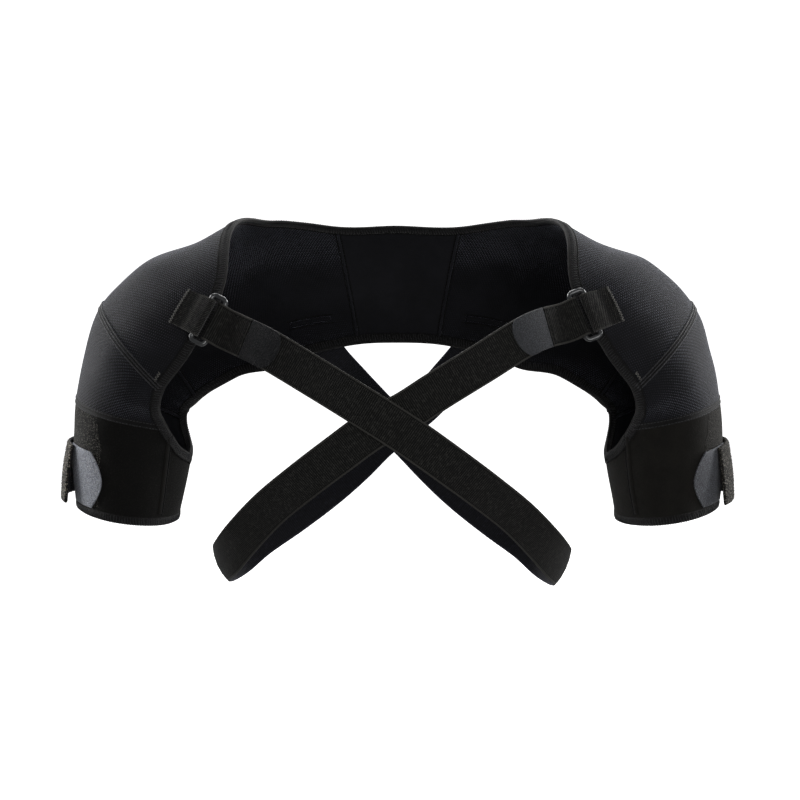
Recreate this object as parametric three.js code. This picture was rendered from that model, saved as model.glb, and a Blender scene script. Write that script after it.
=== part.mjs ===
// Double shoulder brace: a neoprene back and shoulder shell with two arm cuffs,
// and two elastic straps that cross on the chest and run round to the back.
// Millimetres, +Z up. The front of the brace faces -Y and the wearer's left is +X.
// The origin lies midway between the shoulders, at the height where the shell sits on them.
import * as THREE from 'three';

// Shell sizes
const HALF_SPAN = 258;
const SHOULDER_DROP = 118;
const BACK_HEIGHT = 96;
const FRONT_DEPTH = 70;
const BACK_DEPTH = 88;
const ARM_WIDTH = 96;
const ARM_DEPTH = 104;
const CUFF_HEIGHT = 86;
const NEOPRENE = 3;
const SEAM_GAP = 0.3;

// Webbing, rings and tabs
const WEB_WIDTH = 31;
const WEB_THICKNESS = 1.6;
const FIT_GAP = 0.3;
const RING_LENGTH = 42;
const RING_WIDTH = 15;
const RING_WIRE = 3.4;
const RING_CORNER = 3.2;
const ANCHOR_LENGTH = 21;
const FOLD_LENGTH = 30;
const HOOK_TAB_LENGTH = 29;
const HOOK_TAB_THICKNESS = 1.2;
const SEWN_LENGTH = 14;

// Closure of each cuff
const CLOSURE_THICKNESS = 3;
const CLOSURE_FLARE = 8;
const CLOSURE_HEIGHT = 46;
const CLOSURE_MARGIN = 6;
const CLOSURE_BACK = -100;
const CLOSURE_FRONT = 30;
const TAB_TUCK = 10;
const TAB_REACH = 38;

// Places along the shell, as shares of the way from the middle of the back to the cuff's end
const BACK_SEAM = 0.129;
const SHOULDER_SEAM = 0.618;
const CUFF_SEAM = 0.804;
const ARMPIT = 0.869;
const CUFF_END = 1;
const CUFF_AT_ARMPIT = 0.32;

// Sections of the shell. Each is an arc round its own centre, over the shoulder from back to front.
// span: top point out from the middle, share of HALF_SPAN
// rise: top point above the seat, share of SHOULDER_DROP; cuff: below it, share of CUFF_HEIGHT
// tilt: lean of the section's up direction outwards, degrees; twist: extra lean at the front
// panel, arm: half height, shares of BACK_HEIGHT and ARM_WIDTH
// front, back: half depths, shares of FRONT_DEPTH and BACK_DEPTH
// armFront, armBack: what the arm adds to them, shares of ARM_DEPTH
const SECTION_COLUMNS = ['along', 'span', 'rise', 'cuff', 'tilt', 'twist', 'panel', 'arm',
  'front', 'back', 'armFront', 'armBack'];
const SECTIONS = [
  [0, 0, 0.297, 0, 0, 0, 0.78, 0, 0.86, 1, 0, 0],
  [BACK_SEAM, 0.208, 0.278, 0, 10, 0, 0.79, 0, 0.86, 1, 0, 0],
  [0.222, 0.36, 0.25, 0, 15, 0, 0.8, 0, 0.87, 1, 0, 0],
  [0.305, 0.492, 0.19, 0, 20, 0, 0.81, 0, 0.91, 0.99, 0, 0],
  [0.391, 0.612, 0.047, 0, 27, 0, 0.79, 0, 0.985, 0.98, 0, 0],
  [0.499, 0.771, -0.085, 0, 33, 0, 0.72, 0.06, 1, 0.955, 0, 0],
  [SHOULDER_SEAM, 0.91, -0.375, 0, 40, 2.5, 0.4, 0.26, 0.6, 0.55, 0.21, 0.245],
  [0.718, 0.967, -0.712, 0, 58, 6.4, 0.16, 0.39, 0.2, 0.2, 0.44, 0.43],
  [CUFF_SEAM, 0.998, -1, 0, 75, 3.2, 0, 0.51, 0, 0, 0.52, 0.54],
  [ARMPIT, 1.005, -1, CUFF_AT_ARMPIT, 77, 0, 0, 0.498, 0, 0, 0.5, 0.52],
  [CUFF_END, 1, -1, 1, 81.5, 0, 0, 0.432, 0, 0, 0.49, 0.49],
];

// Where the shell ends on each section, in degrees round it: hem on the back, neckline on the front
const EDGE_COLUMNS = ['along', 'hem', 'neckline'];
const EDGES = [
  [0, -124, -44.5],
  [BACK_SEAM, -123.5, -42.4],
  [0.222, -126, -30.5],
  [0.274, -127, -21],
  [0.303, -128, -4],
  [0.325, -128, 18],
  [0.351, -128, 46],
  [0.391, -127.8, 64.4],
  [0.499, -126, 88],
  [0.561, -131, 98],
  [SHOULDER_SEAM, -137, 104.8],
  [0.718, -139.5, 112],
  [0.776, -141, 119],
  [CUFF_SEAM, -143.5, 126],
  [0.831, -150, 138],
  [0.852, -161, 153],
  [ARMPIT, -180, 180],
  [0.93, -180, 180],
  [CUFF_END, -180, 180],
];

// Route of a strap from its ring across the chest, round the far side and up to the back.
// cross: from the ring's side to the far side, share of HALF_SPAN
// ahead: forwards, share of FRONT_DEPTH; behind: backwards, share of BACK_DEPTH
// fall: below the seat, share of STRAP_DROP; roll: turn of the strap about its length, degrees
const STRAP_DROP = 272;
const ROUTE_COLUMNS = ['cross', 'ahead', 'behind', 'fall', 'roll'];
const ROUTE = [
  [-0.396, 1.3, 0, 0.248, 0],
  [-0.232, 1.49, 0, 0.334, 0],
  [-0.099, 1.59, 0, 0.408, 0],
  [-0.018, 1.61, 0, 0.456, 0],
  [0.058, 1.59, 0, 0.505, 1],
  [0.165, 1.51, 0, 0.582, 5],
  [0.262, 1.37, 0, 0.657, 12],
  [0.36, 1.12, 0, 0.742, 20],
  [0.44, 0.8, 0, 0.832, 25],
  [0.496, 0.36, 0, 0.911, 26],
  [0.515, 0, 0.08, 0.952, 27],
  [0.507, 0, 0.34, 0.972, 30],
  [0.475, 0, 0.57, 0.966, 33],
  [0.418, 0, 0.75, 0.926, 34],
  [0.31, 0, 0.89, 0.858, 31],
  [0.202, 0, 0.98, 0.779, 22],
  [0.12, 0, 1.01, 0.706, 12],
  [0.042, 0, 1.02, 0.628, 4],
  [-0.075, 0, 1.02, 0.515, 0],
  [-0.153, 0, 0.99, 0.434, 0],
  [-0.222, 0, 0.94, 0.356, 0],
];
// The under strap leaves its ring higher and turns further out than the over strap. At the
// back its lift is the given share of the lift on the chest.
const UNDER_STRAP_LIFT = 11;
const REAR_LIFT_SHARE = 0.3;
const UNDER_STRAP_REACH = 11;
const UNDER_RING_SHIFT = 0.01;
const STRAP_LAYERS_APART = 3.6;
const LAYERS_FULL = 0.1;
const LAYERS_END = 0.25;

// Places on the shell where rings and strap ends are sewn
const RING_ALONG = 0.43;
const DART_ALONG = 0.241;
const DART_ANGLE = -112;

// Flattening of the strap's outward direction across the trunk, from 0 for flat to 1 for round
const TRUNK_ROUNDNESS = 0.35;

// Steps of the faceted surfaces, and the distance under which two points are one
const LONGEST_STEP = 0.045;
const ROUND_STEPS = { back: 12, shoulder: 20, cap: 20, cuff: 28, closure: 14, hookTab: 12 };
const ALONG_STEP = 0.001;
const ANGLE_STEP = 0.5;
const TOUCHING = 1e-6;

const { degToRad: rad, lerp, smoothstep, clamp } = THREE.MathUtils;

function row(columns, values) {
  return Object.fromEntries(columns.map((name, k) => [name, values[k]]));
}

// A smooth curve through (x, y) knots, with slopes taken from the neighbouring spans.
function smoothCurve(xs, ys) {
  const last = xs.length - 1;
  const slope = (i) => (ys[i + 1] - ys[i]) / (xs[i + 1] - xs[i]);
  const tangent = xs.map((_, i) => {
    if (i === 0) return slope(0);
    if (i === last) return slope(last - 1);
    const before = xs[i] - xs[i - 1];
    const after = xs[i + 1] - xs[i];
    return (slope(i - 1) * after + slope(i) * before) / (before + after);
  });
  return (x) => {
    let i = 0;
    while (i < last - 1 && x >= xs[i + 1]) i += 1;
    const h = xs[i + 1] - xs[i];
    const t = (x - xs[i]) / h;
    const s = 1 - t;
    return ys[i] * (1 + 2 * t) * s * s + ys[i + 1] * t * t * (3 - 2 * t)
      + tangent[i] * h * t * s * s - tangent[i + 1] * h * t * t * s;
  };
}

// One curve for each column of a table, carried on to the other side as its mirror image.
function mirroredCurves(columns, table, odd) {
  const curves = {};
  const xs = [...table.slice(1).reverse().map((r) => -r[0]), ...table.map((r) => r[0])];
  columns.slice(1).forEach((name, k) => {
    const sign = odd.includes(name) ? -1 : 1;
    const other = table.slice(1).reverse().map((r) => sign * r[k + 1]);
    curves[name] = smoothCurve(xs, [...other, ...table.map((r) => r[k + 1])]);
  });
  return curves;
}

const SHELL = mirroredCurves(SECTION_COLUMNS, SECTIONS, ['span', 'tilt', 'twist']);
const EDGE = mirroredCurves(EDGE_COLUMNS, EDGES, []);

// A point of the shell's outer face, before any offset.
function shellFace(along, angle) {
  const at = (name) => SHELL[name](along);
  const half = at('panel') * BACK_HEIGHT + at('arm') * ARM_WIDTH;
  const tilt = rad(at('tilt'));
  const sine = Math.sin(rad(angle));
  const lean = rad(at('tilt') + at('twist') * sine);
  const depth = sine > 0
    ? at('front') * FRONT_DEPTH + at('armFront') * ARM_DEPTH
    : at('back') * BACK_DEPTH + at('armBack') * ARM_DEPTH;
  const reach = half * Math.cos(rad(angle));
  return new THREE.Vector3(
    at('span') * HALF_SPAN - half * Math.sin(tilt) + reach * Math.sin(lean),
    -depth * sine,
    at('rise') * SHOULDER_DROP - at('cuff') * CUFF_HEIGHT - half * Math.cos(tilt)
      + reach * Math.cos(lean),
  );
}

// The directions along the shell, round it and out of it at a point.
function shellFrame(along, angle) {
  const lengthways = shellFace(along + ALONG_STEP, angle).sub(shellFace(along - ALONG_STEP, angle));
  const round = shellFace(along, angle + ANGLE_STEP).sub(shellFace(along, angle - ANGLE_STEP));
  const out = new THREE.Vector3().crossVectors(round, lengthways).normalize();
  return { lengthways: lengthways.normalize(), round: round.normalize(), out };
}

// A point of the shell lifted off its outer face by the given height.
function onShell(along, angle, height) {
  return shellFace(along, angle).addScaledVector(shellFrame(along, angle).out, height);
}

// A closed mesh from a grid of outer points and the matching grid of inner points. Each entry
// of rows[i][j] is { outer, inner }. A row whose ends meet is left open there, as a tube.
function wall(rows) {
  const triangles = [];
  const quad = (a, b, c, d) => triangles.push(a, b, c, a, c, d);
  const same = (a, b) => a.distanceTo(b) < TOUCHING;
  const last = rows[0].length - 1;
  for (let i = 0; i < rows.length - 1; i += 1) {
    const [here, next] = [rows[i], rows[i + 1]];
    for (let j = 0; j < last; j += 1) {
      quad(here[j].outer, next[j].outer, next[j + 1].outer, here[j + 1].outer);
      quad(here[j].inner, here[j + 1].inner, next[j + 1].inner, next[j].inner);
    }
    const welded = same(here[0].outer, here[last].outer) && same(next[0].outer, next[last].outer);
    if (!welded) {
      quad(here[0].outer, here[0].inner, next[0].inner, next[0].outer);
      quad(here[last].outer, next[last].outer, next[last].inner, here[last].inner);
    }
  }
  const end = rows[rows.length - 1];
  for (let j = 0; j < last; j += 1) {
    quad(rows[0][j].outer, rows[0][j + 1].outer, rows[0][j + 1].inner, rows[0][j].inner);
    quad(end[j].outer, end[j].inner, end[j + 1].inner, end[j + 1].outer);
  }
  return solidFrom(triangles);
}

// A buffer geometry from corner points, without flat triangles and with its faces pointing out.
function solidFrom(corners) {
  const kept = [];
  let volume = 0;
  const cross = new THREE.Vector3();
  for (let k = 0; k < corners.length; k += 3) {
    const [a, b, c] = corners.slice(k, k + 3);
    const flat = [a.distanceTo(b), b.distanceTo(c), c.distanceTo(a)].some((d) => d < TOUCHING);
    if (!flat) {
      kept.push([a, b, c]);
      volume += a.dot(cross.crossVectors(b, c));
    }
  }
  const facing = volume < 0 ? kept.map(([a, b, c]) => [a, c, b]) : kept;
  return new THREE.BufferGeometry().setFromPoints(facing.flat());
}

// Places from start to end that keep every edge row between them, with no step over
// LONGEST_STEP.
function panelStops(start, end) {
  const low = Math.min(start, end);
  const high = Math.max(start, end);
  const way = Math.sign(start + end) || 1;
  const between = EDGES.map((values) => way * values[0]).filter((x) => x > low && x < high);
  const marks = [low, ...between.sort((a, b) => a - b), high];
  const stops = marks.slice(1).flatMap((mark, i) => {
    const steps = Math.max(Math.ceil((mark - marks[i]) / LONGEST_STEP), 1);
    return stations(marks[i], mark, steps).slice(1);
  });
  return [low, ...stops];
}

// Evenly spaced places from start to end.
function stations(start, end, steps) {
  return Array.from({ length: steps + 1 }, (_, i) => start + (end - start) * (i / steps));
}

// A panel of the shell between two places along it. Both ends stand back from their seams
// by half a seam gap, measured along the face.
function shellPanel(start, end, stepsRound) {
  const places = panelStops(start, end);
  const rows = places.map((along, i) => {
    let back = 0;
    if (i === 0) back = SEAM_GAP / 2;
    if (i === places.length - 1) back = -SEAM_GAP / 2;
    const hem = EDGE.hem(along);
    const neckline = EDGE.neckline(along);
    return stations(hem, neckline, stepsRound).map((angle) => {
      const { lengthways, out } = shellFrame(along, angle);
      const outer = shellFace(along, angle).addScaledVector(lengthways, back);
      return { outer, inner: outer.clone().addScaledVector(out, -NEOPRENE) };
    });
  });
  return wall(rows);
}

// The cuff: open towards the armpit above, a whole tube below it.
function cuffPanel(side) {
  const above = stations(CUFF_SEAM, ARMPIT, 7);
  const below = stations(ARMPIT, CUFF_END, 3).slice(1);
  const rows = [...above, ...below].map((place, i) => {
    const along = side * place;
    const stand = i === 0 ? SEAM_GAP / 2 * side : 0;
    return stations(EDGE.hem(place), EDGE.neckline(place), ROUND_STEPS.cuff).map((angle) => {
      const { lengthways, out } = shellFrame(along, angle);
      const outer = shellFace(along, angle).addScaledVector(lengthways, stand);
      return { outer, inner: outer.clone().addScaledVector(out, -NEOPRENE) };
    });
  });
  return wall(rows);
}

// A band of even thickness along a path. Each stop has a point, a unit vector across the
// band, a unit vector out of its face, and a half width.
function band(stops, thickness) {
  return wall(stops.map((stop) => {
    const at = (share, height) => stop.point.clone()
      .addScaledVector(stop.across, share * stop.half)
      .addScaledVector(stop.out, height);
    return [-1, 1].map((share) => ({
      outer: at(share, thickness / 2),
      inner: at(share, -thickness / 2),
    }));
  }));
}

// The stops of a band through the given points. Its face turns towards the outward vectors
// and then rolls about its length.
function bandStops(points, outwards, rolls) {
  return points.map((point, i) => {
    const before = points[Math.max(i - 1, 0)];
    const after = points[Math.min(i + 1, points.length - 1)];
    const forwards = after.clone().sub(before).normalize();
    const out = outwards[i].clone().addScaledVector(forwards, -outwards[i].dot(forwards));
    out.normalize().applyAxisAngle(forwards, rad(rolls[i]));
    const across = new THREE.Vector3().crossVectors(forwards, out).normalize();
    return { point, across, out, half: WEB_WIDTH / 2 };
  });
}

// The same stop seen from its other face.
function turnedOver(stop) {
  return { ...stop, across: stop.across.clone().negate(), out: stop.out.clone().negate() };
}

// The stops placed by hand on the route of the strap whose ring is on the given side.
function strapRoute(side) {
  const under = side > 0 ? 1 : 0;
  return ROUTE.map((values) => {
    const stop = row(ROUTE_COLUMNS, values);
    const rear = stop.behind > 0;
    const lift = under * UNDER_STRAP_LIFT * (rear ? REAR_LIFT_SHARE : 1 - stop.fall ** 4);
    const reach = under * UNDER_STRAP_REACH * stop.fall ** 2 * Math.sign(stop.cross);
    const crossing = smoothstep(LAYERS_END - Math.abs(stop.cross), 0, LAYERS_END - LAYERS_FULL);
    const layer = ((side > 0) === rear ? 1 : -1) * crossing * STRAP_LAYERS_APART / 2;
    return {
      point: new THREE.Vector3(
        -side * (stop.cross * HALF_SPAN + reach),
        stop.behind * BACK_DEPTH - stop.ahead * FRONT_DEPTH - layer,
        lift - stop.fall * STRAP_DROP,
      ),
      roll: -side * stop.roll,
    };
  });
}

// The ring's seat on the front edge of a shoulder: its middle, and its own directions out of
// the shell, towards the strap and along its bars.
function ringSeat(side) {
  const along = side > 0 ? RING_ALONG - UNDER_RING_SHIFT : -RING_ALONG;
  const angle = EDGE.neckline(along);
  const { out } = shellFrame(along, angle);
  const lift = 3 * FIT_GAP + WEB_THICKNESS + RING_WIRE / 2;
  const middle = onShell(along, angle, lift);
  const towards = strapRoute(side)[0].point.sub(middle);
  towards.addScaledVector(out, -towards.dot(out)).normalize();
  const lengthways = new THREE.Vector3().crossVectors(out, towards).normalize();
  return { middle, out, towards, lengthways };
}

// The ring: round wire along an oblong with rounded corners.
function ringSolid(side) {
  const { middle, out, towards, lengthways } = ringSeat(side);
  const longHalf = (RING_LENGTH - RING_WIRE) / 2 - RING_CORNER;
  const shortHalf = (RING_WIDTH - RING_WIRE) / 2 - RING_CORNER;
  const wireSides = 8;
  const corners = [[1, 1], [1, -1], [-1, -1], [-1, 1]];
  const loop = corners.flatMap(([longSign, shortSign], corner) => {
    const turns = stations(corner * Math.PI / 2, (corner + 1) * Math.PI / 2, 4);
    return turns.map((turn) => {
      const away = lengthways.clone().multiplyScalar(Math.sin(turn))
        .addScaledVector(towards, Math.cos(turn));
      const centre = middle.clone()
        .addScaledVector(lengthways, longSign * longHalf)
        .addScaledVector(towards, shortSign * shortHalf)
        .addScaledVector(away, RING_CORNER);
      return Array.from({ length: wireSides + 1 }, (_, j) => {
        const round = 2 * Math.PI * ((j % wireSides) / wireSides);
        return centre.clone()
          .addScaledVector(away, RING_WIRE / 2 * Math.cos(round))
          .addScaledVector(out, RING_WIRE / 2 * Math.sin(round));
      });
    });
  });
  const triangles = [];
  loop.forEach((here, i) => {
    const next = loop[(i + 1) % loop.length];
    for (let j = 0; j < wireSides; j += 1) {
      triangles.push(here[j], next[j], next[j + 1], here[j], next[j + 1], here[j + 1]);
    }
  });
  return solidFrom(triangles);
}

// Stops of webbing that turns round one bar of the ring, from its face side to its body side.
// bar is 1 for the strap's bar and -1 for the anchor's.
function turnRoundBar(side, bar) {
  const { middle, out, towards, lengthways } = ringSeat(side);
  const centre = middle.clone().addScaledVector(towards, bar * (RING_WIDTH - RING_WIRE) / 2);
  const radius = RING_WIRE / 2 + FIT_GAP + WEB_THICKNESS / 2;
  return stations(0, Math.PI, 8).map((turn) => {
    const ray = out.clone().multiplyScalar(Math.cos(turn))
      .addScaledVector(towards, -bar * Math.sin(turn));
    const point = centre.clone().addScaledVector(ray, radius);
    const across = lengthways.clone().multiplyScalar(bar);
    return { point, across, out: ray, half: WEB_WIDTH / 2 };
  });
}

// The point at a height above the shell that lies nearest to a point.
function pressedOn(point, side, height) {
  let along = side * RING_ALONG;
  let angle = EDGE.neckline(along);
  for (let k = 0; k < 10; k += 1) {
    const here = shellFace(along, angle);
    const offset = point.clone().sub(here);
    const a = shellFace(along + ALONG_STEP, angle).sub(here);
    const b = shellFace(along, angle + ANGLE_STEP).sub(here);
    const [aa, ab, bb, ao, bo] = [a.dot(a), a.dot(b), b.dot(b), a.dot(offset), b.dot(offset)];
    const scale = aa * bb - ab * ab;
    along += ALONG_STEP * (ao * bb - bo * ab) / scale;
    angle += ANGLE_STEP * (bo * aa - ao * ab) / scale;
  }
  return onShell(along, angle, height);
}

// Webbing sewn flat on the shoulder, which turns round the ring's outer bar and comes back.
function anchorTab(side) {
  const { middle, towards, lengthways } = ringSeat(side);
  const bar = -(RING_WIDTH - RING_WIRE) / 2;
  const shares = [-1, -0.5, 0, 0.5, 1];
  const sewnRow = (distance, layer) => shares.map((share) => {
    const over = middle.clone()
      .addScaledVector(towards, bar - distance)
      .addScaledVector(lengthways, -share * WEB_WIDTH / 2);
    const low = FIT_GAP + layer * (WEB_THICKNESS + FIT_GAP);
    const bottom = pressedOn(over, side, low);
    const top = pressedOn(over, side, low + WEB_THICKNESS);
    return layer ? { outer: top, inner: bottom } : { outer: bottom, inner: top };
  });
  const turnRows = turnRoundBar(side, -1).map((stop) => shares.map((share) => {
    const middleLine = stop.point.clone().addScaledVector(stop.across, share * stop.half);
    return {
      outer: middleLine.clone().addScaledVector(stop.out, WEB_THICKNESS / 2),
      inner: middleLine.clone().addScaledVector(stop.out, -WEB_THICKNESS / 2),
    };
  }));
  const reach = [1, 0.87, 0.74, 0.6].map((share) => share * ANCHOR_LENGTH);
  const face = reach.map((distance) => sewnRow(distance, 1));
  const body = reach.map((distance) => sewnRow(distance, 0)).reverse();
  return wall([...face, ...turnRows, ...body]);
}

// The strap from the ring's bar to its sewn end, as stops whose faces look away from the body.
function strapRun(side) {
  const seat = ringSeat(side);
  const turn = turnRoundBar(side, 1);
  const start = turn[turn.length - 1].point;
  const lead = start.clone().addScaledVector(seat.towards, WEB_WIDTH / 4);
  const dart = shellFrame(side * DART_ALONG, DART_ANGLE);
  const sewnAt = (up) => onShell(side * DART_ALONG, DART_ANGLE, 2 * FIT_GAP + WEB_THICKNESS / 2)
    .addScaledVector(dart.round, up);
  const route = strapRoute(side);
  const knots = [start, lead, ...route.map((stop) => stop.point), sewnAt(0), sewnAt(SEWN_LENGTH)];
  const rolls = [0, 0, ...route.map((stop) => stop.roll), 0, 0];
  const curve = new THREE.CatmullRomCurve3(knots, false, 'centripetal');
  const last = knots.length - 1;
  const fine = 3 / last;
  const places = [...stations(0, fine, 20), ...stations(fine, 1, 58).slice(1)];
  const points = places.map((place) => curve.getPoint(place));
  const turned = places.map((place) => {
    const knot = Math.min(Math.floor(place * last), last - 1);
    return lerp(rolls[knot], rolls[knot + 1], place * last - knot);
  });
  const outwards = places.map((place, i) => {
    const trunk = new THREE.Vector3(points[i].x * TRUNK_ROUNDNESS, points[i].y, 0).normalize();
    trunk.lerp(seat.out, Math.max(1 - place * last / 4, 0));
    const left = (1 - place) * last;
    return trunk.lerp(dart.out, clamp(1.6 - left / 2, 0, 1)).normalize();
  });
  return bandStops(points, outwards, turned);
}

// The part of a run between two distances along it, raised off its face, with its end rounded
// over the given length.
function layOn(run, from, to, height, roundOver) {
  const lengths = [0];
  run.slice(1).forEach((stop, i) => lengths.push(lengths[i] + stop.point.distanceTo(run[i].point)));
  const steps = Math.max(Math.round((to - from) / 3), 4);
  return stations(from, to, steps).map((distance) => {
    let i = 0;
    while (i < run.length - 2 && lengths[i + 1] < distance) i += 1;
    const share = (distance - lengths[i]) / (lengths[i + 1] - lengths[i]);
    const mix = (name) => run[i][name].clone().lerp(run[i + 1][name], share);
    const past = roundOver ? Math.max(1 - (to - distance) / roundOver, 0) : 0;
    const out = mix('out').normalize();
    return {
      point: mix('point').addScaledVector(out, height),
      across: mix('across').normalize(),
      out,
      half: WEB_WIDTH / 2 * Math.sqrt(Math.max(1 - past ** 2, 0.12)),
    };
  });
}

// The strap: its folded end, the turn round the ring's bar, and the run round the body.
function strapSolid(side) {
  const run = strapRun(side);
  const clear = RING_WIRE + WEB_THICKNESS * 3;
  const fold = layOn(run, clear, FOLD_LENGTH, WEB_THICKNESS + FIT_GAP, 0).reverse()
    .map((stop) => ({ ...stop, across: stop.across.clone().negate() }));
  return band([...fold, ...turnRoundBar(side, 1), ...run.slice(1).map(turnedOver)], WEB_THICKNESS);
}

// The hook tab that carries on from the strap's folded end and holds it down.
function strapHookTab(side) {
  const from = FOLD_LENGTH + FIT_GAP;
  const height = (WEB_THICKNESS + HOOK_TAB_THICKNESS) / 2 + FIT_GAP;
  const roundOver = WEB_WIDTH / 3;
  const stops = layOn(strapRun(side), from, from + HOOK_TAB_LENGTH, height, roundOver);
  return band(stops, HOOK_TAB_THICKNESS);
}

// A patch lifted off the outside of a cuff. It runs round from one angle to another, and the
// two functions give its lowest and highest place on the cuff at each angle's share.
function cuffPatch(side, angles, lowest, highest, height, thickness) {
  const stepsUp = 4;
  return wall(angles.map((angle, i) => {
    const share = i / (angles.length - 1);
    return stations(lowest(share), highest(share), stepsUp).map((place) => ({
      outer: onShell(side * place, angle, height(share, place) + thickness),
      inner: onShell(side * place, angle, height(share, place)),
    }));
  }));
}

// One millimetre down the cuff, as a share of the way along the shell
const CUFF_SHARE = (CUFF_END - ARMPIT) / (CUFF_HEIGHT * (1 - CUFF_AT_ARMPIT));
const CLOSURE_LOW = CUFF_END - CLOSURE_MARGIN * CUFF_SHARE;
const CLOSURE_HIGH = CLOSURE_LOW - CLOSURE_HEIGHT * CUFF_SHARE;

// How far the closure stands off the cuff: more towards its end and its lower edge.
function closureLift(share, place) {
  const down = (place - CLOSURE_HIGH) / (CLOSURE_LOW - CLOSURE_HIGH);
  const start = FIT_GAP;
  const end = FIT_GAP + HOOK_TAB_THICKNESS + FIT_GAP + CLOSURE_FLARE * down;
  return lerp(start, end, smoothstep(share, 0, 1));
}

// The closure strip: wraps from the back of the cuff over its outside.
function closureStrip(side) {
  const angles = stations(CLOSURE_BACK, CLOSURE_FRONT, ROUND_STEPS.closure);
  return cuffPatch(side, angles, () => CLOSURE_LOW, () => CLOSURE_HIGH, closureLift,
    CLOSURE_THICKNESS);
}

// The hook tab under the end of the closure strip, with a bowed free end.
function closureHookTab(side) {
  const angles = stations(CLOSURE_FRONT - TAB_TUCK, CLOSURE_FRONT + TAB_REACH,
    ROUND_STEPS.hookTab);
  const bow = (share) => 1 - Math.sqrt(Math.max(1 - Math.max(share * 2 - 1, 0) ** 2, 0.1));
  const middle = (CLOSURE_LOW + CLOSURE_HIGH) / 2;
  const low = (share) => lerp(CLOSURE_LOW, middle, bow(share));
  const high = (share) => lerp(CLOSURE_HIGH, middle, bow(share));
  return cuffPatch(side, angles, low, high, () => FIT_GAP, HOOK_TAB_THICKNESS);
}

// One mesh of the group, with the look of its material.
function addPiece(name, geometry, look) {
  const mesh = new THREE.Mesh(geometry, new THREE.MeshStandardMaterial(look));
  mesh.name = name;
  group.add(mesh);
}

const SMOOTH_NEOPRENE = { color: 0x1b1c21, roughness: 0.85, metalness: 0 };
const MESH_NEOPRENE = { color: 0x2a2c38, roughness: 0.8, metalness: 0 };
const LOOP_FABRIC = { color: 0x191918, roughness: 0.95, metalness: 0 };
const WEBBING = { color: 0x1a1816, roughness: 0.85, metalness: 0 };
const HOOK_TAPE = { color: 0x4c4e52, roughness: 0.7, metalness: 0 };
const RING_PLASTIC = { color: 0x121212, roughness: 0.25, metalness: 0 };

const group = new THREE.Group();
addPiece('back_panel', shellPanel(-BACK_SEAM, BACK_SEAM, ROUND_STEPS.back), SMOOTH_NEOPRENE);
for (const [name, side] of [['left', 1], ['right', -1]]) {
  addPiece(`shoulder_panel_${name}`,
    shellPanel(side * BACK_SEAM, side * SHOULDER_SEAM, ROUND_STEPS.shoulder), MESH_NEOPRENE);
  addPiece(`sleeve_cap_${name}`,
    shellPanel(side * SHOULDER_SEAM, side * CUFF_SEAM, ROUND_STEPS.cap), MESH_NEOPRENE);
  addPiece(`arm_cuff_${name}`, cuffPanel(side), LOOP_FABRIC);
  addPiece(`closure_strip_${name}`, closureStrip(side), LOOP_FABRIC);
  addPiece(`closure_tab_${name}`, closureHookTab(side), HOOK_TAPE);
  addPiece(`anchor_tab_${name}`, anchorTab(side), WEBBING);
  addPiece(`ring_${name}`, ringSolid(side), RING_PLASTIC);
  addPiece(`strap_${name}`, strapSolid(side), WEBBING);
  addPiece(`strap_tab_${name}`, strapHookTab(side), HOOK_TAPE);
}

export default group;
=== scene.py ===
"""A double shoulder brace: its cloth, webbing, stitching and studio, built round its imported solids."""

import math

import bmesh
import bpy
import numpy as np
from bpy.props import FloatProperty, FloatVectorProperty, IntProperty, PointerProperty
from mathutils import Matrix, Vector


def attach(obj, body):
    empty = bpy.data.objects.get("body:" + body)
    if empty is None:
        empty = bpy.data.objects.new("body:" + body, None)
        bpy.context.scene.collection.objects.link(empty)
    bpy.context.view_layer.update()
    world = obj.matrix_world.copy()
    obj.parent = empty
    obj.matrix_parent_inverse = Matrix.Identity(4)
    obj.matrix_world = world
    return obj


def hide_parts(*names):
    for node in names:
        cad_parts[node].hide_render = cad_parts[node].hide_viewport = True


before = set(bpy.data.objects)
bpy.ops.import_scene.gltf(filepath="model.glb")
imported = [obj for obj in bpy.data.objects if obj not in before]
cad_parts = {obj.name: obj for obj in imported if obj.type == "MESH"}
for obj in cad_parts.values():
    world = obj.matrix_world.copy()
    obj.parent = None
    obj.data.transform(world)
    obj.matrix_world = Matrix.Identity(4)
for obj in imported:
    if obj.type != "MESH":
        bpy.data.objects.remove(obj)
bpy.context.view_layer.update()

bl_info = {
    "name": "Double shoulder brace",
    "version": (1, 0, 0),
    "blender": (4, 5, 0),
    "location": "View3D > Sidebar > Brace",
    "description": "Builds the pieces of a neoprene shoulder brace and the studio around it",
    "category": "Object",
}

# Shell sizes, in metres, as in the solids
HALF_SPAN = 0.258
SHOULDER_DROP = 0.118
BACK_HEIGHT = 0.096
FRONT_DEPTH = 0.070
BACK_DEPTH = 0.088
ARM_WIDTH = 0.096
ARM_DEPTH = 0.104
CUFF_HEIGHT = 0.086
NEOPRENE = 0.003

# Webbing, rings and tabs
WEB_WIDTH = 0.031
WEB_THICKNESS = 0.0016
FIT_GAP = 0.0003
RING_LENGTH = 0.042
RING_WIDTH = 0.015
RING_WIRE = 0.0034
RING_CORNER = 0.0032
ANCHOR_LENGTH = 0.021
FOLD_LENGTH = 0.030
HOOK_TAB_LENGTH = 0.029
HOOK_TAB_THICKNESS = 0.0012
SEWN_LENGTH = 0.014

# Closure of each cuff, with its angles round the cuff in degrees
CLOSURE_THICKNESS = 0.003
CLOSURE_FLARE = 0.008
CLOSURE_HEIGHT = 0.046
CLOSURE_MARGIN = 0.006
CLOSURE_BACK = -100
CLOSURE_FRONT = 30
TAB_TUCK = 10
TAB_REACH = 38
TAB_ARC = 13

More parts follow.
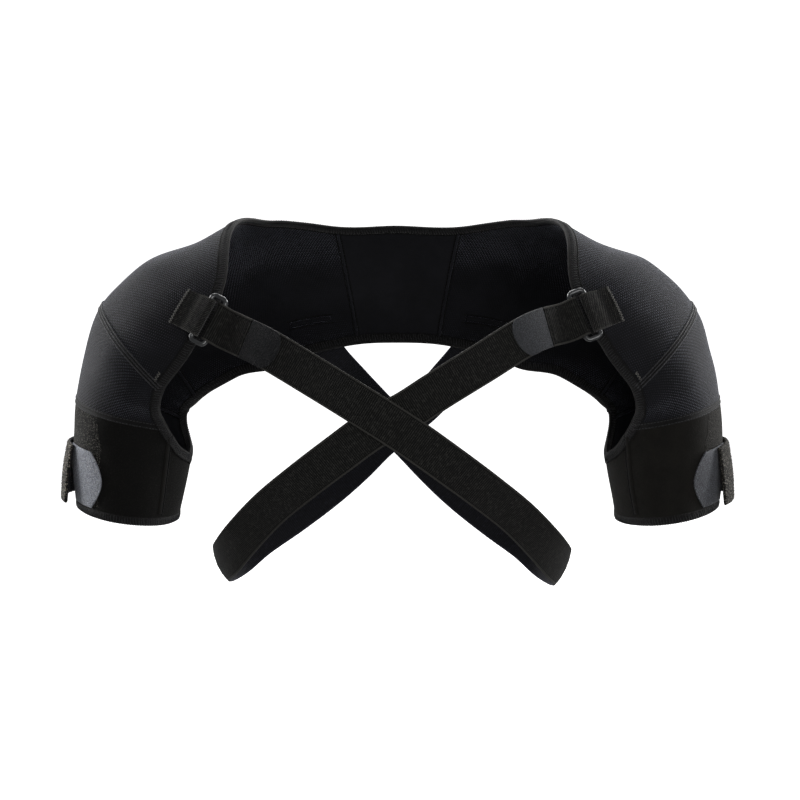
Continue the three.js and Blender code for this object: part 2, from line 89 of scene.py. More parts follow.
# Places along the shell, as shares of the way from the middle of the back to the cuff's end
BACK_SEAM = 0.129
SHOULDER_SEAM = 0.618
CUFF_SEAM = 0.804
ARMPIT = 0.869
CUFF_END = 1.0
CUFF_AT_ARMPIT = 0.32
CUFF_SHARE = (CUFF_END - ARMPIT) / (CUFF_HEIGHT * (1 - CUFF_AT_ARMPIT))
CLOSURE_LOW = CUFF_END - CLOSURE_MARGIN * CUFF_SHARE
CLOSURE_HIGH = CLOSURE_LOW - CLOSURE_HEIGHT * CUFF_SHARE

SECTION_COLUMNS = (
    "span", "rise", "cuff", "tilt", "twist", "panel", "arm", "front", "back", "arm_front", "arm_back",
)
SECTIONS = (
    (0, 0, 0.297, 0, 0, 0, 0.78, 0, 0.86, 1, 0, 0),
    (BACK_SEAM, 0.208, 0.278, 0, 10, 0, 0.79, 0, 0.86, 1, 0, 0),
    (0.222, 0.36, 0.25, 0, 15, 0, 0.8, 0, 0.87, 1, 0, 0),
    (0.305, 0.492, 0.19, 0, 20, 0, 0.81, 0, 0.91, 0.99, 0, 0),
    (0.391, 0.612, 0.047, 0, 27, 0, 0.79, 0, 0.985, 0.98, 0, 0),
    (0.499, 0.771, -0.085, 0, 33, 0, 0.72, 0.06, 1, 0.955, 0, 0),
    (SHOULDER_SEAM, 0.91, -0.375, 0, 40, 2.5, 0.4, 0.26, 0.6, 0.55, 0.21, 0.245),
    (0.718, 0.967, -0.712, 0, 58, 6.4, 0.16, 0.39, 0.2, 0.2, 0.44, 0.43),
    (CUFF_SEAM, 0.998, -1, 0, 75, 3.2, 0, 0.51, 0, 0, 0.52, 0.54),
    (ARMPIT, 1.005, -1, CUFF_AT_ARMPIT, 77, 0, 0, 0.498, 0, 0, 0.5, 0.52),
    (CUFF_END, 1, -1, 1, 81.5, 0, 0, 0.432, 0, 0, 0.49, 0.49),
)
EDGE_COLUMNS = ("hem", "neckline")
EDGES = (
    (0, -124, -44.5),
    (BACK_SEAM, -123.5, -42.4),
    (0.222, -126, -30.5),
    (0.274, -127, -21),
    (0.303, -128, -4),
    (0.325, -128, 18),
    (0.351, -128, 46),
    (0.391, -127.8, 64.4),
    (0.499, -126, 88),
    (0.561, -131, 98),
    (SHOULDER_SEAM, -137, 104.8),
    (0.718, -139.5, 112),
    (0.776, -141, 119),
    (CUFF_SEAM, -143.5, 126),
    (0.831, -150, 138),
    (0.852, -161, 153),
    (ARMPIT, -180, 180),
    (0.93, -180, 180),
    (CUFF_END, -180, 180),
)

# Route of a strap: cross, ahead, behind, fall and roll, as in the solids
STRAP_DROP = 0.272
ROUTE = (
    (-0.396, 1.3, 0, 0.248, 0),
    (-0.232, 1.49, 0, 0.334, 0),
    (-0.099, 1.59, 0, 0.408, 0),
    (-0.018, 1.61, 0, 0.456, 0),
    (0.058, 1.59, 0, 0.505, 1),
    (0.165, 1.51, 0, 0.582, 5),
    (0.262, 1.37, 0, 0.657, 12),
    (0.36, 1.12, 0, 0.742, 20),
    (0.44, 0.8, 0, 0.832, 25),
    (0.496, 0.36, 0, 0.911, 26),
    (0.515, 0, 0.08, 0.952, 27),
    (0.507, 0, 0.34, 0.972, 30),
    (0.475, 0, 0.57, 0.966, 33),
    (0.418, 0, 0.75, 0.926, 34),
    (0.31, 0, 0.89, 0.858, 31),
    (0.202, 0, 0.98, 0.779, 22),
    (0.12, 0, 1.01, 0.706, 12),
    (0.042, 0, 1.02, 0.628, 4),
    (-0.075, 0, 1.02, 0.515, 0),
    (-0.153, 0, 0.99, 0.434, 0),
    (-0.222, 0, 0.94, 0.356, 0),
)
UNDER_STRAP_LIFT = 0.011
REAR_LIFT_SHARE = 0.3
UNDER_STRAP_REACH = 0.011
UNDER_RING_SHIFT = 0.01
STRAP_LAYERS_APART = 0.0036
LAYERS_FULL = 0.1
LAYERS_END = 0.25
RING_ALONG = 0.43
DART_ALONG = 0.241
DART_ANGLE = -112
TRUNK_ROUNDNESS = 0.35
ALONG_STEP = 0.001
ANGLE_STEP = 0.5

# Grid steps, trim and stitching of the finished pieces
SHELL_STEP = 0.0026
WEB_STEP = 0.0018
WELD = 2e-6
EDGE_SHARES = (0.0, 0.1, 0.35, 0.7, 1.0)
WEB_SHARES = np.array((-1, -0.985, -0.955, -0.92, -0.9, -0.8, -0.5, 0, 0.5, 0.8, 0.9, 0.92, 0.955, 0.985, 1))
WEB_CROWN = 0.0035
LOOSE_FOLD = 1.32
BACK_PANEL_HALF = 0.056
STRIP_FURTHER = {"left": 9, "right": 0}
# Painted shade: the right strip's inside is the dark lining and the left strip's is the napped cloth, so that
# only the right one's edge reads dark.
CLOSURE_INSIDE = {"left": "Closure nap left", "right": "Cuff lining"}
SEAM_PLACES = {"back": BACK_SEAM, "shoulder": SHOULDER_SEAM, "cuff": CUFF_SEAM}
SEAM_ROWS = {
    "back": (-0.82, 0, 0.82), "shoulder": (-0.82, 0, 0.82), "cuff": (-0.6, 0.6), "inner": (-0.62, 0.62)}
DART_TURN = DART_ANGLE + 5.0
DART_HALF = 0.017
DART_SPREAD = 0.0042
DART_WELT = 0.0030
CUFF_JOIN = 132
TACK_SPAN = (0.586, 0.610)
TACK_INSET = 7
TACK_PITCH = 0.0011
ZIGZAG_WIDTH = 0.0024
STITCH_BOW = 0.0003
JUST_OFF = 0.0001
CUFF_COLUMNS = 121
ROW_HALF = 0.0128
SEWN_ROW_HALF = 0.0135
MM = 0.001
SIDES = (("left", 1), ("right", -1))


# Sizes a user changes


def amount(name, text, value, least=0.0, **more):
    return FloatProperty(name=name, description=text, default=value, min=least, **more)


def length(name, text, value, least=0.0):
    return amount(name, text, value, least, unit="LENGTH")


def colour(name, text, *value):
    return FloatVectorProperty(
        name=name, description=text, subtype="COLOR", size=4, default=value + (1,), min=0, max=1)


class BRACE_PG_cloth(bpy.types.PropertyGroup):
    """Sizes and colours of the neoprene shell and its stitching"""

    hem_width: length("Hem width", "How far the edge binding reaches in from each edge", 0.0048, 0.001)
    hem_rise: length("Hem rise", "How far the edge binding stands off the cloth", 0.00035)
    seam_half: length("Seam half width", "Half the width of a flat seam's cover", 0.0029, 0.001)
    stitch_pitch: length("Stitch pitch", "Distance between stitches of a seam", 0.0026, 0.0005)
    hem_pitch: length("Hem stitch pitch", "Distance between thread loops over an edge", 0.0021, 0.0005)
    thread_radius: length("Thread radius", "Radius of the sewing thread", 0.00026, 0.00005)
    dot_pitch: amount("Knit dot pitch", "Distance between the knit's raised dots, in millimetres", 2.1, 0.5)
    knit: colour("Knit face", "Colour of the dotted knit face", 0.0076, 0.0079, 0.0108)
    knit_dot: colour("Knit dots", "Colour of the raised dots", 0.095, 0.099, 0.122)
    smooth: colour("Smooth face", "Colour of the smooth back panel", 0.0112, 0.0112, 0.0138)
    cuff: colour("Cuff face", "Colour of the brushed cuff cloth", 0.0072, 0.0065, 0.0052)
    binding: colour("Binding", "Colour of the edge binding and seam covers", 0.0125, 0.0120, 0.0120)
    thread: colour("Thread", "Colour of the sewing thread", 0.020, 0.020, 0.0225)


class BRACE_PG_webbing(bpy.types.PropertyGroup):
    """Sizes and colours of the straps, tabs and rings"""

    rib_pitch: amount("Rib pitch", "Distance between the webbing's cross ribs, in millimetres", 1.65, 0.3)
    selvedge: length("Selvedge", "Width of the smooth line along each edge of the webbing", 0.0014, 0.0002)
    web: colour("Webbing", "Colour of the webbing", 0.0096, 0.0094, 0.0086)
    web_edge: colour("Webbing edge", "Colour of the selvedge", 0.045, 0.043, 0.039)
    web_back: colour("Webbing back", "Colour of the webbing's body side", 0.012, 0.0125, 0.018)
    hook: colour("Hook tape", "Colour of the grey hook tape", 0.085, 0.090, 0.105)
    ring: colour("Ring", "Colour of the rings", 0.042, 0.044, 0.047)
    fibres: IntProperty(
        name="Fibres", description="Loose fibres on each square centimetre of a closure strip",
        default=60, min=0)


class BRACE_PG_stage(bpy.types.PropertyGroup):
    """Lights and floor of the studio"""

    floor_drop: length("Floor drop", "How far the floor lies below the origin", 0.62, 0.3)
    side_power: amount("Side lights", "Power of the lights at both sides", 31, unit="POWER")
    top_power: amount("Top light", "Power of the light above", 22, unit="POWER")
    front_power: amount("Front light", "Power of the light by the camera", 8.5, unit="POWER")
    room: amount("Room light", "Strength of the even light from behind the brace", 0.34)
    room_front: amount("Room light in front", "Strength of the even light from the camera's side", 0.115)


# The shell's surface


class SmoothCurve:
    """A smooth curve through knots, with slopes taken from the neighbouring spans."""

    def __init__(self, xs, ys):
        self.xs = np.array(xs, float)
        self.ys = np.array(ys, float)
        spans = np.diff(self.xs)
        slopes = np.diff(self.ys) / spans
        inner = (slopes[:-1] * spans[1:] + slopes[1:] * spans[:-1]) / (spans[:-1] + spans[1:])
        self.tangents = np.concatenate(([slopes[0]], inner, [slopes[-1]]))

    def __call__(self, x):
        i = np.clip(np.searchsorted(self.xs, x, side="right") - 1, 0, len(self.xs) - 2)
        h = self.xs[i + 1] - self.xs[i]
        t = (x - self.xs[i]) / h
        s = 1 - t
        return (
            self.ys[i] * (1 + 2 * t) * s * s + self.ys[i + 1] * t * t * (3 - 2 * t)
            + self.tangents[i] * h * t * s * s - self.tangents[i + 1] * h * t * t * s
        )


def mirrored_curves(columns, table, odd):
    """One curve for each column of a table, carried on to the other side as its mirror image."""
    xs = [-r[0] for r in reversed(table[1:])] + [r[0] for r in table]
    curves = {}
    for k, name in enumerate(columns, 1):
        sign = -1 if name in odd else 1
        curves[name] = SmoothCurve(xs, [sign * r[k] for r in reversed(table[1:])] + [r[k] for r in table])
    return curves


SHELL = mirrored_curves(SECTION_COLUMNS, SECTIONS, ("span", "tilt", "twist"))
EDGE = mirrored_curves(EDGE_COLUMNS, EDGES, ())


def unit(v):
    return v / np.maximum(np.linalg.norm(v, axis=-1, keepdims=True), 1e-12)


def shell_face(along, angle):
    """Points of the shell's outer face."""
    along, angle = np.broadcast_arrays(np.asarray(along, float), np.asarray(angle, float))
    at = {name: curve(along) for name, curve in SHELL.items()}
    half = at["panel"] * BACK_HEIGHT + at["arm"] * ARM_WIDTH
    tilt = np.radians(at["tilt"])
    sine = np.sin(np.radians(angle))
    lean = np.radians(at["tilt"] + at["twist"] * sine)
    front = at["front"] * FRONT_DEPTH + at["arm_front"] * ARM_DEPTH
    back = at["back"] * BACK_DEPTH + at["arm_back"] * ARM_DEPTH
    depth = np.where(sine > 0, front, back)
    reach = half * np.cos(np.radians(angle))
    return np.stack((
        at["span"] * HALF_SPAN - half * np.sin(tilt) + reach * np.sin(lean),
        -depth * sine,
        at["rise"] * SHOULDER_DROP - at["cuff"] * CUFF_HEIGHT - half * np.cos(tilt) + reach * np.cos(lean),
    ), axis=-1)


def shell_frame(along, angle):
    """The directions along the shell, round it and out of it."""
    along, angle = np.broadcast_arrays(np.asarray(along, float), np.asarray(angle, float))
    lengthways = shell_face(along + ALONG_STEP, angle) - shell_face(along - ALONG_STEP, angle)
    around = shell_face(along, angle + ANGLE_STEP) - shell_face(along, angle - ANGLE_STEP)
    return unit(lengthways), unit(around), unit(np.cross(around, lengthways))


def on_shell(along, angle, height):
    """Points of the shell lifted off its outer face."""
    out = shell_frame(along, angle)[2]
    return shell_face(along, angle) + out * np.asarray(height, float)[..., None]


def on_cloth(along, angle, height=0.0):
    """Points of the worn cloth, lifted off its outer face, and the way out of it."""
    face = shell_face(along, angle)
    out = shell_frame(along, angle)[2]
    return face + out * (softness(face) + height)[..., None], out


def softness(points):
    """Shallow dents and swells of worn cloth, as heights at the given points."""
    waves = (
        (61, 23, 47, 0.4, 0.55), (-38, 71, 52, 1.9, 0.42), (97, -44, 83, 3.1, 0.26),
        (-120, 66, 131, 0.8, 0.16), (33, 128, -149, 5.2, 0.12), (181, 90, 60, 2.2, 0.08),
    )
    height = np.zeros(points.shape[:-1])
    for x, y, z, phase, size in waves:
        height += size * np.sin(points @ np.array((x, y, z), float) + phase)
    beside = np.clip(np.abs(points[..., 0]) / BACK_PANEL_HALF - 0.4, 0.25, 1)
    return height * beside * 0.8 * MM


# Lines and profiles


def distances(points):
    """How far each point of a line lies along it."""
    return np.concatenate(([0], np.cumsum(np.linalg.norm(np.diff(points, axis=0), axis=-1))))


def between(places, known, values):
    """Vectors at the given places, from those at known ones."""
    return np.stack([np.interp(places, known, values[:, k]) for k in range(3)], axis=-1)


def mirrored(points, middle=(), flip=(-1, 1)):
    """A profile that goes on as its own mirror image."""
    return [*points, *middle, *((x * flip[0], y * flip[1]) for x, y in reversed(points))]


FLAT_COVER = mirrored(((-1, -0.0005), (-0.94, 0.0001), (-0.7, 0.00042), (-0.4, 0.0004), (-0.12, 0.00005)))
SEAM_RIDGE = mirrored(((-0.42, -0.0005), (-0.36, 0.0002), (-0.2, 0.0009)), [(0, 0.0011)])
JOIN_WELT = mirrored(((-0.0026, -0.0004), (-0.0019, 0.0003), (-0.0008, 0.0008)))


def smoothstep(x, low, high):
    t = np.clip((x - low) / (high - low), 0, 1)
    return t * t * (3 - 2 * t)


def placed(name, data):
    """A new object in the scene."""
    made = bpy.data.objects.new(name, data)
    bpy.context.scene.collection.objects.link(made)
    return made


def settle(piece, node):
    """Makes a piece ride on the brace and stand for a solid, which it hides."""
    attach(piece, "root")
    if node:
        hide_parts(node)
    return piece


# Meshes from grids


class Sewn:
    """Gathers grids of points into one mesh with a UV map in millimetres."""

    def __init__(self):
        self.points, self.faces, self.uvs, self.slots = [], [], [], []
        self.count = 0

    def grid(self, points, uv, slot=0, turned=False, ring=False):
        rows, columns = points.shape[:2]
        index = self.count + np.arange(rows * columns).reshape(rows, columns)
        if ring:
            index = np.concatenate((index, index[:1]), axis=0)
            step = uv[-1:] - uv[-2:-1]
            uv = np.concatenate((uv, uv[-1:] + step), axis=0)
        corner = [(slice(None, -1), slice(None, -1)), (slice(1, None), slice(None, -1)),
                  (slice(1, None), slice(1, None)), (slice(None, -1), slice(1, None))]
        if turned:
            corner.reverse()
        self.points.append(points.reshape(-1, 3))
        self.faces.append(np.stack([index[c].ravel() for c in corner], axis=-1))
        self.uvs.append(np.stack([uv[c].reshape(-1, 2) for c in corner], axis=1))
        self.slots.append(np.full(len(self.faces[-1]), slot))
        self.count += rows * columns
        return self

    def piece(self, name, finishes):
        """A smooth closed object with the given materials."""
        mesh = bpy.data.meshes.new(name)
        faces = np.concatenate(self.faces)
        mesh.from_pydata(np.concatenate(self.points).tolist(), [], faces.tolist())
        layer = mesh.uv_layers.new(name="Surface")
        layer.data.foreach_set("uv", (np.concatenate(self.uvs) / MM).astype(np.float32).ravel())
        mesh.polygons.foreach_set("material_index", np.concatenate(self.slots).astype(np.int32))
        for finish in finishes:
            mesh.materials.append(finish)
        shape = bmesh.new()
        shape.from_mesh(mesh)
        bmesh.ops.remove_doubles(shape, verts=shape.verts, dist=WELD)
        bmesh.ops.dissolve_degenerate(shape, edges=shape.edges, dist=1e-7)
        bmesh.ops.recalc_face_normals(shape, faces=shape.faces)
        shape.to_mesh(mesh)
        shape.free()
        mesh.shade_smooth()
        return placed(name, mesh)


def even_stops(measure, start, end, step):
    """Places from start to end whose spacing on the measured points is about step."""
    fine = np.linspace(start, end, 900)
    points = measure(fine)
    moved = np.linalg.norm(np.diff(points, axis=0), axis=-1)
    if moved.ndim > 1:
        moved = moved.max(axis=-1)
    lengths = np.concatenate(([0], np.cumsum(moved)))
    count = max(int(math.ceil(lengths[-1] / step)), 4)
    return np.interp(np.linspace(0, lengths[-1], count + 1), lengths, fine)


def with_rims(values, radius, ends):
    """The rows of a grid with extra ones close to both ends, and each row's share of full thickness."""
    rows, full = list(values), [1.0] * len(values)
    shares = [math.sqrt(1 - (1 - share) ** 2) for share in EDGE_SHARES]
    for end in (1, 0):
        if not ends[end]:
            continue
        edge, inner = (rows[-1], rows[-2]) if end else (rows[0], rows[1])
        span = np.linalg.norm(inner[:, :3] - edge[:, :3], axis=-1)
        added = [edge + (inner - edge) * np.minimum(share * radius / np.maximum(span, 1e-9), 0.92)[:, None]
                 for share in EDGE_SHARES]
        if end:
            rows, full = rows[:-1] + added[::-1], full[:-1] + shares[::-1]
        else:
            rows, full = added + rows[1:], shares + full[1:]
    return np.array(rows), np.array(full)


def slab(middle, out, uv, thickness, slots=(0, 0), ends=(True, True), sides=(True, True), sewn=None):
    """A sheet of even thickness round a grid of middle points, with rounded edges."""
    values, along = with_rims(np.concatenate((middle, out, uv), axis=-1), thickness / 2, ends)
    values, across = with_rims(values.transpose(1, 0, 2), thickness / 2, sides)
    values = values.transpose(1, 0, 2)
    points, flat = values[..., :3], values[..., 6:8]
    lift = unit(values[..., 3:6]) * (along[:, None] * across)[..., None] * thickness / 2
    sewn = sewn or Sewn()
    sewn.grid(points + lift, flat, slots[0])
    sewn.grid(points - lift, flat, slots[1], turned=True)
    return sewn


def flat_uv(points):
    """Distances along and across a grid from its middle."""
    along = np.linalg.norm(np.diff(points, axis=0), axis=-1).mean(axis=1)
    u = np.concatenate(([0], np.cumsum(along)))
    steps = np.linalg.norm(np.diff(points, axis=1), axis=-1)
    v = np.concatenate((np.zeros((len(points), 1)), np.cumsum(steps, axis=1)), axis=1)
    v -= v[:, v.shape[1] // 2][:, None]
    return np.stack((np.broadcast_to(u[:, None], v.shape), v), axis=-1)


def area_of(points):
    """The area of a grid."""
    a = points[1:, 1:] - points[:-1, :-1]
    b = points[1:, :-1] - points[:-1, 1:]
    return float(np.linalg.norm(np.cross(a, b), axis=-1).sum() / 2)


def sweep(name, centres, across, out, profile, finish, closed=False):
    """A closed bar of trim: the profile's (sideways, outwards) points carried along a path."""
    profile = np.array(profile, float)
    points = centres[:, None] + across[:, None] * profile[None, :, :1] + out[:, None] * profile[None, :, 1:]
    points = np.concatenate((points, points[:, :1]), axis=1)
    sewn = Sewn().grid(points, flat_uv(points), ring=closed)
    for rim in () if closed else (points[0], points[-1]):
        cap = np.stack((rim, np.repeat(rim[:-1].mean(axis=0)[None], len(rim), axis=0)))
        sewn.grid(cap, np.zeros(cap.shape[:2] + (2,)))
    return settle(sewn.piece(name, [finish]), None)


# Shader nodes


def new_node(tree, kind, settings=None, sockets=None):
    """A node with its settings, and then the values or links of its sockets."""
    made = tree.nodes.new(kind)
    for key, value in (settings or {}).items():
        setattr(made, key, value)
    for key, value in (sockets or {}).items():
        value = getattr(value, "socket", value)
        if isinstance(value, bpy.types.NodeSocket):
            tree.links.new(value, made.inputs[key])
        else:
            made.inputs[key].default_value = value
    return made


class Value:
    """A socket that takes part in sums."""

    def __init__(self, look, socket):
        self.look, self.socket = look, socket

    def _math(self, operation, *values):
        return self.look.node("ShaderNodeMath", {"operation": operation}, dict(enumerate(values)))

    def __add__(self, other):
        return self._math("ADD", self, other)

    __radd__ = __add__

    def __sub__(self, other):
        return self._math("SUBTRACT", self, other)

    def __rsub__(self, other):
        return self._math("SUBTRACT", other, self)

    def __mul__(self, other):
        return self._math("MULTIPLY", self, other)

    __rmul__ = __mul__

    def __truediv__(self, other):
        return self._math("DIVIDE", self, other)

    def __rtruediv__(self, other):
        return self._math("DIVIDE", other, self)

    def floor(self):
        return self._math("FLOOR", self)

    def fract(self):
        return self._math("FRACT", self)

    def root(self):
        return self._math("SQRT", self)

    def size(self):
        return self._math("ABSOLUTE", self)

    def sine(self):
        return self._math("SINE", self)

    def wave(self, pitch):
        return (self * (2 * math.pi / pitch)).sine()

    def ramp(self, low, high):
        """0 below low, 1 above high, smooth between; low may be the higher one."""
        return self.look.node("ShaderNodeMapRange", {"interpolation_type": "SMOOTHSTEP"},
                              {"Value": self, "From Min": low, "From Max": high})


class Look:
    """A procedural material. Every node that isn't a sum comes from node()."""

    def __init__(self, name):
        self.material = bpy.data.materials.new(name)
        self.material.use_nodes = True
        self.tree = self.material.node_tree
        self.tree.nodes.clear()

    def node(self, kind, settings=None, sockets=None, output=0):
        return Value(self, new_node(self.tree, kind, settings, sockets).outputs[output])

    def axes(self, vector):
        """The three numbers of a vector."""
        parts = self.node("ShaderNodeSeparateXYZ", sockets={0: vector})
        return [Value(self, socket) for socket in parts.socket.node.outputs]

    def surface(self):
        """Distances over the piece's own surface, in millimetres."""
        return self.axes(self.node("ShaderNodeUVMap", {"uv_map": "Surface"}))[:2]

    def place(self):
        return self.node("ShaderNodeTexCoord", output="Object")

    def noise(self, scale, detail=2.0, roughness=0.5):
        return self.node("ShaderNodeTexNoise", sockets={
            "Vector": self.place(), "Scale": scale, "Detail": detail, "Roughness": roughness})

    def mixed(self, share, first, second):
        return self.node("ShaderNodeMix", {"data_type": "RGBA"}, {0: share, 6: first, 7: second}, output=2)

    def shades(self, share, base, dark, light):
        """Darker to lighter shades of one colour."""
        return self.mixed(share, lighter(base, dark), lighter(base, light))

    def bump(self, height, distance, strength=1.0, over=None):
        sockets = {"Height": height, "Distance": distance, "Strength": strength}
        if over:
            sockets["Normal"] = over
        return self.node("ShaderNodeBump", sockets=sockets)

    def finish(self, **sockets):
        """Ends the material in one Principled shader; names use _ for a space."""
        shader = self.node("ShaderNodeBsdfPrincipled",
                           sockets={key.replace("_", " "): value for key, value in sockets.items()})
        new_node(self.tree, "ShaderNodeOutputMaterial", sockets={"Surface": shader})
        return self.material


def lighter(colour, share):
    return tuple(min(c * share, 1) for c in colour[:3]) + (1,)


def knit_look(name, cloth, strength, base, dot):
    """Knit face over neoprene with rows of small raised dots."""
    look = Look(name)
    u, v = look.surface()
    row = v / (cloth.dot_pitch * 0.86)
    across = (u / cloth.dot_pitch + (row.floor() * 0.5).fract()).fract() - 0.5
    down = row.fract() - 0.5
    away = (across * across * 0.8 + down * down * 1.5).root()
    patchy = look.noise(42, 2, 0.5).ramp(0.36, 0.62) * 0.65 + 0.35
    dots = (1 - away.ramp(0.06, 0.20)) * patchy
    moat = away.ramp(0.16, 0.24) * (1 - away.ramp(0.28, 0.38))
    mottle = look.noise(38, 4, 0.6)
    fuzz = look.noise(1400, 2, 0.7)
    shade = look.shades(mottle.ramp(0.3, 0.75), base, 0.72, 1.35)
    # Painted shade: the colour darkens in the ring round each dot, where the pit's shade falls; the bump
    # below also sinks the ring.
    shade = look.mixed(moat * 0.5, shade, lighter(base, 0.3))
    lit = look.mixed(dots * fuzz.ramp(0.15, 0.65) * strength, shade, tuple(dot))
    relief = look.bump(dots * 0.6 - moat * 0.5 + fuzz * 0.5, 0.0006, 0.85)
    relief = look.bump(mottle, 0.0011, 0.35, relief)
    return look.finish(Base_Color=lit, Roughness=0.62 + fuzz * 0.2, Normal=relief, Specular_IOR_Level=0.25,
                       Sheen_Weight=0.42, Sheen_Roughness=0.19, Sheen_Tint=(0.80, 0.84, 1.0, 1))


def smooth_look(name, base, sheen):
    """Smooth jersey over neoprene: fine vertical wales and slight mottling."""
    look = Look(name)
    u, v = look.surface()
    wales = u.wave(0.9) * v.wave(1.3)
    mottle = look.noise(30, 4, 0.6)
    fuzz = look.noise(1100, 2, 0.7)
    shade = look.shades(mottle.ramp(0.25, 0.8), base, 0.75, 1.4)
    shade = look.mixed(wales.ramp(0.2, 0.9) * 0.35, shade, lighter(base, 2.4))
    relief = look.bump(wales * 0.5 + fuzz * 0.8, 0.00022, 0.8)
    return look.finish(Base_Color=shade, Roughness=0.68 + fuzz * 0.2, Normal=relief, Specular_IOR_Level=0.22,
                       Sheen_Weight=sheen, Sheen_Roughness=0.35, Sheen_Tint=(0.8, 0.84, 1.0, 1))


def brushed_look(name, base, speck, sheen, share, patch=None, loops_each_metre=1050.0):
    """Brushed loop cloth: a nap of tiny loops, some of which catch the light. A patch has more of them."""
    look = Look(name)
    if patch:
        u, v = look.surface()
        end = v + u * 0.1
        inside = v.ramp(patch[0], patch[0] + 1) * (1 - end.ramp(patch[1], patch[1] + 1.5))
        share = share + inside * (1 - share)
    loops = look.node("ShaderNodeTexVoronoi", {"feature": "F1"},
                      {"Vector": look.place(), "Scale": loops_each_metre, "Randomness": 1.0})
    nap = look.noise(loops_each_metre * 0.7, 4, 0.75)
    cloud = look.noise(60, 3, 0.6)
    specks = (1 - loops.ramp(0.15, 0.6)) * nap.ramp(0.42, 0.62)
    shade = look.shades(cloud.ramp(0.3, 0.75), base, 0.8, 1.3)
    shade = look.mixed(specks * share, shade, tuple(speck))
    relief = look.bump((nap * 1.4 + specks) * (share * 0.8 + 0.2), 0.0007, 0.9)
    return look.finish(Base_Color=shade, Roughness=0.85, Normal=relief, Specular_IOR_Level=0.25,
                       Sheen_Weight=sheen, Sheen_Roughness=0.3, Sheen_Tint=(1.0, 0.96, 0.9, 1))


def binding_look(name, base):
    """Overlock binding: close cords of thread that run over the edge."""
    look = Look(name)
    u, v = look.surface()
    cords = (u + v * 0.35).wave(1.05)
    worn = look.noise(240, 3, 0.7)
    shade = look.shades(cords.ramp(-0.6, 0.9), base, 0.5, 1.7)
    shade = look.mixed(worn.ramp(0.5, 0.72) * 0.5, shade, lighter(base, 3.0))
    relief = look.bump(cords * 0.6 + worn, 0.0003, 0.9)
    return look.finish(Base_Color=shade, Roughness=0.75, Normal=relief, Specular_IOR_Level=0.3,
                       Sheen_Weight=0.12, Sheen_Roughness=0.4)


def thread_look(name, base, sheen):
    """Twisted polyester thread."""
    look = Look(name)
    worn = look.noise(700, 2, 0.6)
    shade = look.shades(worn.ramp(0.3, 0.7), base, 0.6, 1.5)
    relief = look.bump(worn, 0.0001, 0.6)
    return look.finish(Base_Color=shade, Roughness=0.55 + worn * 0.2, Normal=relief, Specular_IOR_Level=0.3,
                       Sheen_Weight=sheen)


def web_look(name, web, base, edge, ribs):
    """Elastic webbing: cross ribs between two smooth selvedges."""
    look = Look(name)
    u, v = look.surface()
    half = WEB_WIDTH / MM / 2
    wave, threads = u.wave(web.rib_pitch), v.wave(0.95)
    selvedge = v.size().ramp(half - web.selvedge / MM - 0.25, half - web.selvedge / MM + 0.1)
    worn = look.noise(420, 3, 0.65)
    cloud = look.noise(34, 3, 0.6)
    shade = look.shades(cloud.ramp(0.3, 0.75), base, 0.8, 1.25)
    lit = wave.ramp(0.0, 0.95) * (0.6 + threads * 0.4) * ribs
    # Painted highlights: the rib crests, and the pebbles where this noise is high, are lightened as though
    # lit.
    shade = look.shades(lit * (0.3 + worn.ramp(0.35, 0.6) * 0.9), base, 0.4, 5.4)
    shade = look.mixed(worn.ramp(0.56, 0.68) * 0.5 * ribs, shade, lighter(base, 5.5))
    shade = look.mixed(selvedge * 0.9, shade, tuple(edge))
    # Painted shade: a dark line just inside each selvedge stands for the shade of a groove there.
    groove = v.size().ramp(half - 2.5, half - 2.2) * (1 - v.size().ramp(half - 1.8, half - 1.5))
    shade = look.mixed(groove * 0.8 * ribs, shade, lighter(base, 0.25))
    # Painted shade: the webbing is darker towards the outer ends of the straps' low loops, where they turn.
    x, _, z = look.axes(look.place())
    turned = x.size().ramp(0.130, 0.142) * z.ramp(-0.21, -0.23)
    shade = look.mixed(turned * 0.75 * ribs, shade, lighter(base, 0.3))
    height = (wave * 0.55 + threads * 0.18) * (1 - selvedge) * ribs + selvedge * 0.6 + worn * 0.3
    relief = look.bump(height, 0.0004, 0.85)
    return look.finish(Base_Color=shade, Roughness=0.6 + worn * 0.25, Normal=relief, Specular_IOR_Level=0.24,
                       Sheen_Weight=0.02, Sheen_Roughness=0.4)


def twill_look(name, base, edge):
    """Close diagonal weave of the short webbing that holds a ring."""
    look = Look(name)
    u, v = look.surface()
    half = WEB_WIDTH / MM / 2
    weave = (u + v * 0.7).wave(1.8) * 0.7 + (u - v * 0.6).wave(1.3) * 0.45
    selvedge = v.size().ramp(half - 1.6, half - 1.2)
    worn = look.noise(520, 3, 0.7)
    shade = look.shades(weave.ramp(-0.2, 0.9) * (0.1 + worn.ramp(0.38, 0.6)), base, 0.15, 6.2)
    shade = look.mixed(worn.ramp(0.58, 0.70) * 0.35, shade, lighter(base, 8.0))
    shade = look.mixed(selvedge * 0.75, shade, tuple(edge))
    band = u.ramp(6.6, 7.4) * (1 - u.ramp(8.6, 10.2))
    shade = look.mixed(band * 0.75, shade, lighter(base, 0.2))
    # Painted highlight: the weave is lightened where the webbing turns round the ring's bar.
    turn = u.ramp(10.5, 12.5) * (1 - u.ramp(13.5, 15))
    shade = look.mixed(turn * weave.ramp(-0.4, 0.5) * 0.5, shade, lighter(base, 9.0))
    relief = look.bump(weave * 0.6 + worn * 0.5, 0.0004, 0.9)
    return look.finish(Base_Color=shade, Roughness=0.65 + worn * 0.2, Normal=relief, Specular_IOR_Level=0.35,
                       Sheen_Weight=0.25, Sheen_Roughness=0.4)


